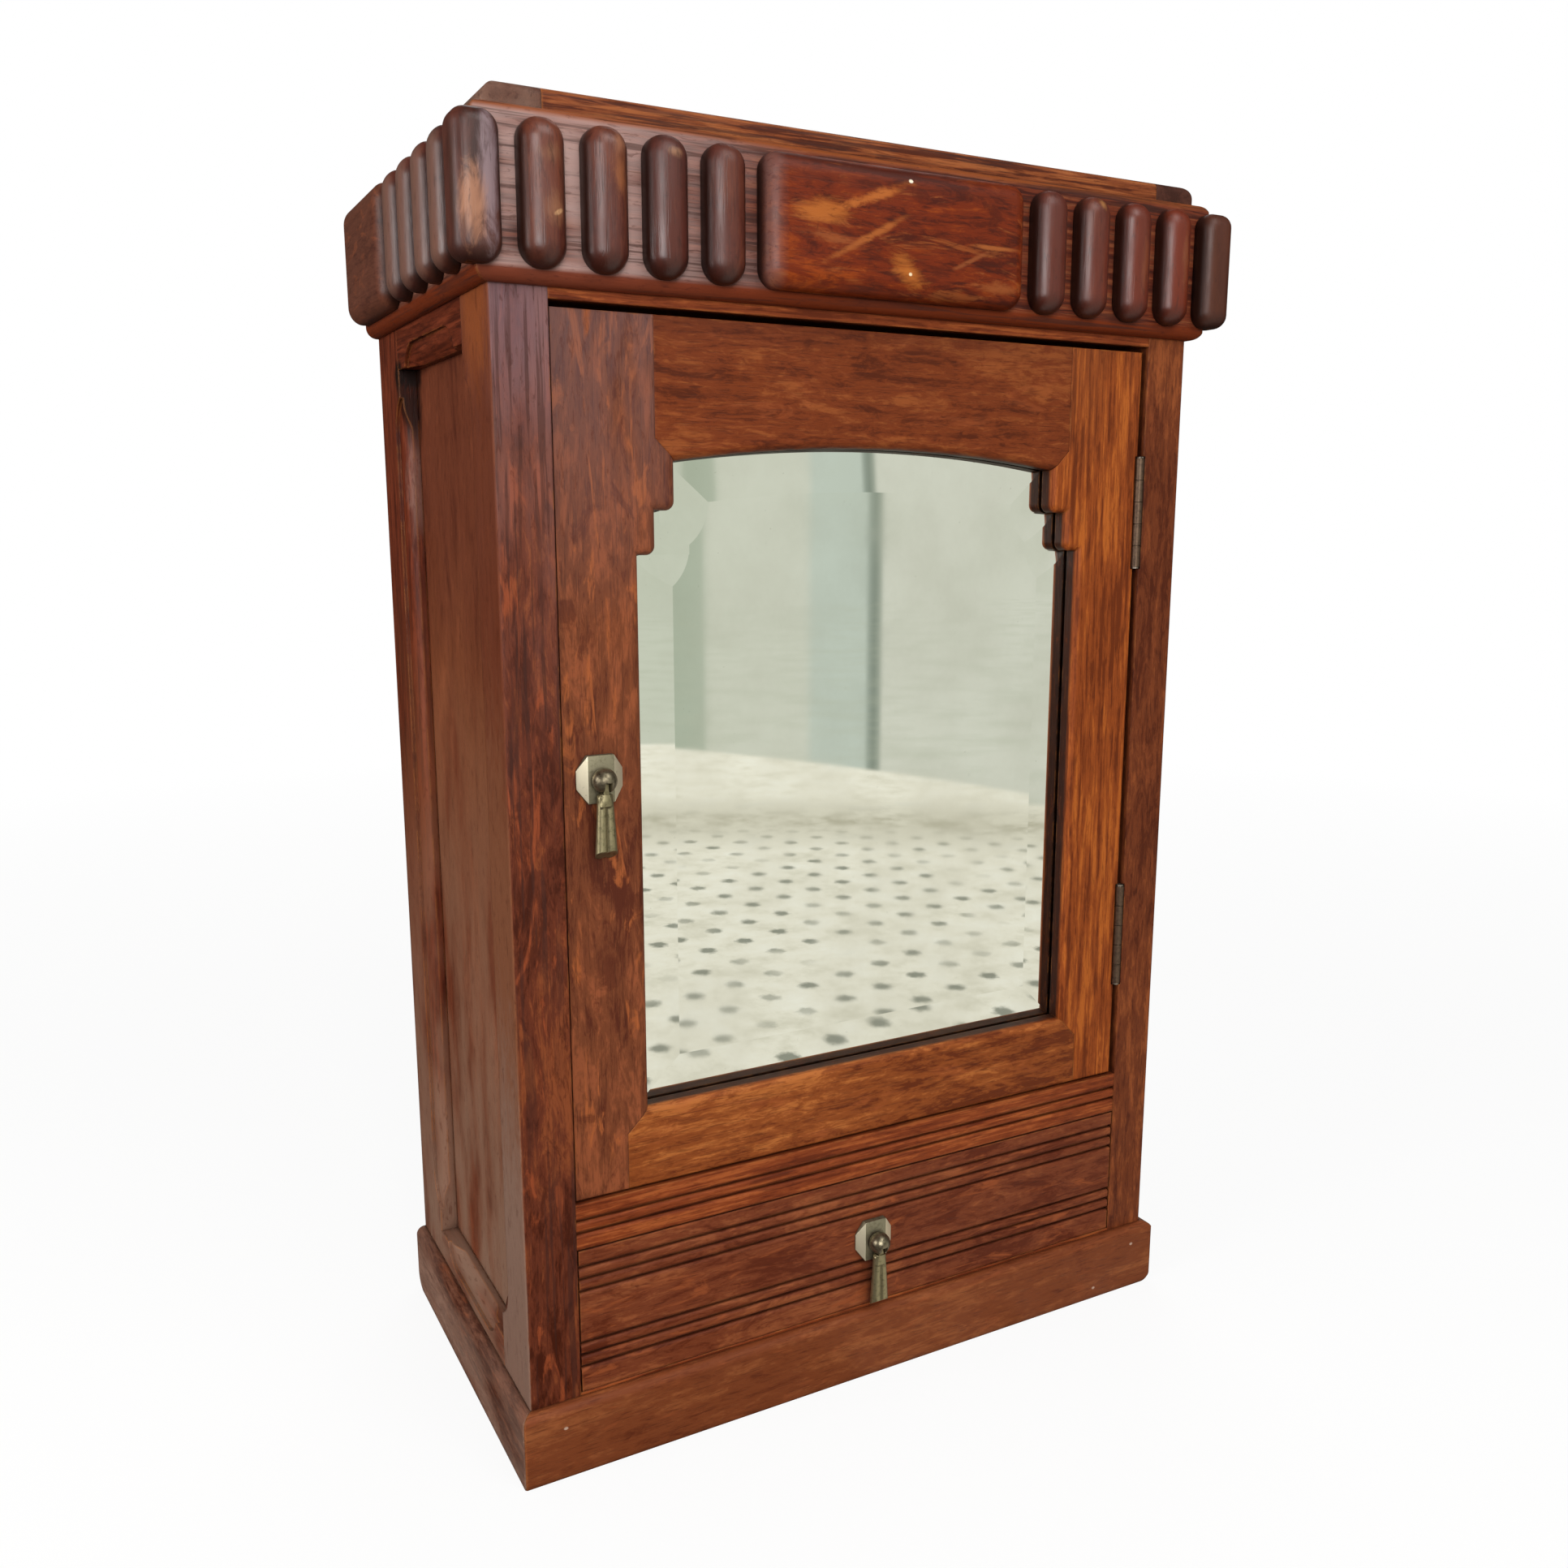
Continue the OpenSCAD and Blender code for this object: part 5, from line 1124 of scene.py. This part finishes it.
@dataclass
class Studio:
    """Pale floor, white surroundings, soft lamps and the photograph's camera.

    Lengths are in metres and turns in degrees. What the mirror shows is laid out from the mirror's own
    view point, which is the camera's place reflected in the glass.

    Attributes:
        eye: The camera's place.
        tilt: Its angle from straight down.
        swing: Its turn about Z.
        lens: Focal length in mm for a 36 mm frame.
        mirror_y: Y of the mirror's face.
        spots_a_metre: How many floor spots lie in a metre.
        spots_turn: Turn of their grid.
        spots_end: Distances between which they fade out.
        dirt_at: Distance of the line of dirt.
        dirt_reach: How far it fades to both sides.
        wall_turns: Turns between which the wall comes nearer.
        wall_at: Its distance at these turns.
        floor_turns: Where the cream floor fades in and out.
        room_turns: Where the pale wall fades in and out.
        lamps: Name, place, watts and side of each lamp.
    """

    eye: Triple = (-0.3981, -0.7264, 0.4961)
    tilt: float = 79.266
    swing: float = -28.444
    lens: float = 31.314
    mirror_y: float = -0.089
    spots_a_metre: float = 17.54
    spots_turn: float = 14.5
    spots_end: tuple[float, float] = (2.1, 2.25)
    dirt_at: float = 2.28
    dirt_reach: float = 0.22
    wall_turns: tuple[float, float] = (22.0, 42.0)
    wall_at: tuple[float, float] = (3.1, 2.43)
    floor_turns: tuple[float, ...] = (-8.0, 0.0, 60.0, 68.0)
    room_turns: tuple[float, ...] = (-45.0, -25.0, 56.0, 64.0)
    lamps: tuple[tuple[str, Triple, float, float], ...] = (
        ("front_window", (-0.72, -1.95, 0.95), 28, 1.0), ("ceiling_light", (0.35, -1.4, 2.0), 14, 1.0),
        ("left_window", (-1.9, -0.25, 0.7), 21, 0.9), ("back_top", (0.8, 1.6, 1.8), 12, 1.4))

    def seen(self, on: Surface) -> Socket:
        """Finds the rays that see the plain background.

        Args:
            on: The floor or the world.

        Returns:
            1 for rays of the camera, of gloss and of glass, and 0 for light.
        """
        rays = on.add("LightPath").node.outputs
        both = on.add("Math MAXIMUM", (rays["Is Camera Ray"], rays["Is Glossy Ray"]))
        return on.add("Math MAXIMUM", (both, rays["Is Transmission Ray"]))

    def bearing(self, on: Surface, way: Socket) -> Socket:
        """Works out where a direction points.

        Args:
            on: The floor or the world.
            way: The direction.

        Returns:
            Its turn in radians from the cabinet's front, to the right when positive.
        """
        part = on.add("SeparateXYZ", (way,)).node.outputs
        ahead = on.add("Math MULTIPLY", (part["Y"], -1.0))
        return on.add("Math ARCTAN2", (part["X"], ahead))

    def between(self, on: Surface, turns: tuple[float, ...]) -> Socket:
        """Picks a sector of the room.

        Args:
            on: The floor or the world.
            turns: It rises over the first two turns and falls over the last two.

        Returns:
            1 within the sector and 0 outside it.
        """
        turn = self.bearing(on, on.place)
        a, b, c, d = (math.radians(value) for value in turns)
        sides = (on.add("MapRange", (turn, a, b)), on.add("MapRange", (turn, c, d, 1.0, 0.0)))
        return on.add("Math MULTIPLY", sides)

    def wall(self, on: Surface, way: Socket) -> Socket:
        """Colours the wall in the mirror: plaster with a pier at 24 degrees and a corner at 30 to 32 degrees.

        Args:
            on: The floor or the world.
            way: The direction in which the wall is seen.

        Returns:
            Its colour.
        """
        # The ramp's stops are shares of a turn of 50 degrees.
        turn = on.add("MapRange", (self.bearing(on, way), 0.0, math.radians(50)))
        plaster = on.add("ValToRGB", (turn,), stops=(
            (0.470, "d2d6ca"), (0.474, "b4bdae"), (0.500, "bac2b4"), (0.505, "d8dacf"), (0.588, "d9dbd1"),
            (0.592, "cbd4cd"), (0.638, "c8d1ca"), (0.642, "7c877e"), (0.648, "99a298"), (0.652, "dcddd4"),
            (1.0, "dadbd2")))
        stain = on.add("TexNoise", {"Vector": way, "Scale": 5.0, "Detail": 4.0, "Roughness": 0.6})
        share = on.add("MapRange", (stain, 0.45, 0.7, 0.0, 0.4))
        return on.add("Mix RGBA", {0: share, 6: plaster, 7: "bfc4b4"}, 2)

    def spots(self, on: Surface, depth: Socket) -> Socket:
        """Draws a grid of floor spots, 57 mm apart and about 20 mm wide, ragged and partly worn away.

        Args:
            on: The floor.
            depth: The distance from the mirror's view point.

        Returns:
            The spots' share.
        """
        scale = (self.spots_a_metre, self.spots_a_metre, 0.0)
        grid = on.add("Mapping", {"Vector": on.place, "Scale": scale, "Location": (0.241, -0.028, 0.5),
                                  "Rotation": (0.0, 0.0, math.radians(self.spots_turn))})
        cell = on.add("VectorMath FRACTION", (grid,))
        off = on.add("VectorMath SUBTRACT", (cell, (0.5, 0.5, 0.5)))
        reach = on.add("VectorMath LENGTH", (off,), "Value")
        ragged = on.add("TexNoise", {"Vector": on.place, "Scale": 110.0, "Detail": 4.0, "Roughness": 0.7})
        reach = on.add("Math MULTIPLY_ADD", (ragged, 0.3, reach))
        spot = on.add("MapRange", (reach, 0.27, 0.38, 0.85, 0.0))
        worn = on.add("TexNoise", {"Vector": on.place, "Scale": 6.0, "Detail": 2.0})
        for share in (on.add("MapRange", (worn, 0.3, 0.5)),
                      on.add("MapRange", (depth, *self.spots_end, 1.0, 0.0))):
            spot = on.add("Math MULTIPLY", (spot, share))
        return spot

    def reflected(self, on: Surface) -> Socket:
        """Colours the floor in the mirror: cream with spots and a line of dirt, up to the foot of a wall.

        Args:
            on: The floor.

        Returns:
            Its colour.
        """
        twin = (self.eye[0], 2 * self.mirror_y - self.eye[1], 0.0)
        ahead = on.add("VectorMath SUBTRACT", (on.place, twin))
        depth = on.add("VectorMath LENGTH", (ahead,), "Value")
        # Mottling is about 60 mm across.
        mottle = on.add("TexNoise", {"Vector": on.place, "Scale": 16.0, "Detail": 5.0, "Roughness": 0.7})
        tone = on.add("ValToRGB", (mottle,), stops=((0.3, "e2decf"), (0.5, "f8f4e8"), (0.7, "fffdf5")))
        line = on.add("Math SUBTRACT", (depth, self.dirt_at))
        line = on.add("Math ABSOLUTE", (line,))
        line = on.add("MapRange", (line, 0.0, self.dirt_reach, 0.75, 0.0))
        dirt = on.add("Math MULTIPLY", (line, on.add("MapRange", (mottle, 0.35, 0.6))))
        turns = [math.radians(turn) for turn in self.wall_turns]
        foot = on.add("MapRange", (self.bearing(on, ahead), *turns, *self.wall_at))
        past = on.add("Math SUBTRACT", (depth, foot))
        wall = on.add("MapRange", (past, 0.0, 0.04))
        for share, over in ((self.spots(on, depth), "7c8176"), (dirt, "a09a80"),
                            (wall, self.wall(on, ahead))):
            tone = on.add("Mix RGBA", {0: share, 6: tone, 7: over}, 2)
        return tone

    def floor(self) -> None:
        """Lays the floor, white to the eye with the object's soft shadow on it, cream in the mirror."""
        bpy.ops.object.select_all(action="DESELECT")
        bpy.ops.mesh.primitive_plane_add(size=14, location=(0, 0, 0))
        obj = bpy.context.active_object
        obj.name = "studio_floor"
        material = bpy.data.materials.new("matt white floor")
        on = Surface(material)
        rays = on.add("LightPath").node.outputs
        # White to the eye, mid grey to the light, so that it does not throw light up under the cornice.
        real = on.add("Mix RGBA", {0: rays["Is Camera Ray"], 6: "8c8780", 7: "f2f2f0"}, 2)
        matt = on.add("BsdfDiffuse", {"Color": real})
        # The room is dark beside the cream floor, and all of it shows in gloss only.
        sector = self.between(on, self.floor_turns)
        tone = self.reflected(on)
        for share, under in ((sector, "3c312b"), (rays["Is Glossy Ray"], "ffffff")):
            tone = on.add("Mix RGBA", {0: share, 6: under, 7: tone}, 2)
        glow = on.add("Emission", {"Color": tone, "Strength": 1.0})
        # The floor's own shading fades out between 0.8 and 2.2 m, so that it has no horizon.
        far = on.add("VectorMath LENGTH", (on.place,), "Value")
        plain = on.add("MapRange", (far, 0.8, 2.2, 0.88))
        share = on.add("Math MULTIPLY", (self.seen(on), plain))
        on.add("OutputMaterial", {"Surface": on.add("MixShader", (share, matt, glow))})
        obj.data.materials.append(material)

    def sky(self) -> None:
        """Makes the world white to the eye, a dim even light, and a pale wall in the mirror."""
        world = bpy.data.worlds.new("studio")
        bpy.context.scene.world = world
        on = Surface(world, "Generated")
        # Past the wall on both sides the room is dark.
        tone = self.wall(on, on.place)
        glossy = on.add("LightPath", out="Is Glossy Ray")
        for share, under in ((self.between(on, self.room_turns), "4a423c"), (glossy, "ffffff")):
            tone = on.add("Mix RGBA", {0: share, 6: under, 7: tone}, 2)
        power = on.add("MapRange", (self.seen(on), 0.0, 1.0, 0.34, 1.0))
        on.add("OutputWorld", {"Surface": on.add("Background", {"Color": tone, "Strength": power})})

    def lamp(self, name: str, place: Triple, watts: float, size: float) -> None:
        """Hangs a square soft lamp that faces the middle of the cabinet.

        Args:
            name: Its name.
            place: Where it hangs.
            watts: Its power.
            size: Its side.
        """
        data = bpy.data.lights.new(name, "AREA")
        data.energy, data.size, data.shape = watts, size, "SQUARE"
        lamp = bpy.data.objects.new(name, data)
        lamp.location = place
        lamp.rotation_euler = (Vector((0, 0, 0.36)) - Vector(place)).to_track_quat("-Z", "Y").to_euler()
        bpy.context.collection.objects.link(lamp)

    def build(self) -> None:
        """Sets up the whole studio."""
        self.floor()
        self.sky()
        for row in self.lamps:
            self.lamp(*row)
        data = bpy.data.cameras.new("photo_camera")
        data.sensor_width, data.lens = 36.0, self.lens
        data.clip_start, data.clip_end = 0.01, 50
        camera = bpy.data.objects.new("photo_camera", data)
        camera.location = self.eye
        camera.rotation_euler = (math.radians(self.tilt), 0, math.radians(self.swing))
        bpy.context.collection.objects.link(camera)
        bpy.context.scene.camera = camera
        bpy.context.scene.view_settings.view_transform = "Standard"


def main() -> None:
    """Builds the studio and dresses the cabinet, sub-assembly by sub-assembly."""
    logging.basicConfig(level=logging.INFO, format="%(message)s")
    Studio().build()
    Carcass().finish()
    Plinth().finish()
    cornice = Cornice()
    cornice.build()
    cornice.finish()
    MirrorDoor().finish()
    Drawer().finish()
    Interior().finish()
    hardware = Hardware()
    hardware.finish()
    hardware.pulls()


if __name__ == "__main__":
    main()
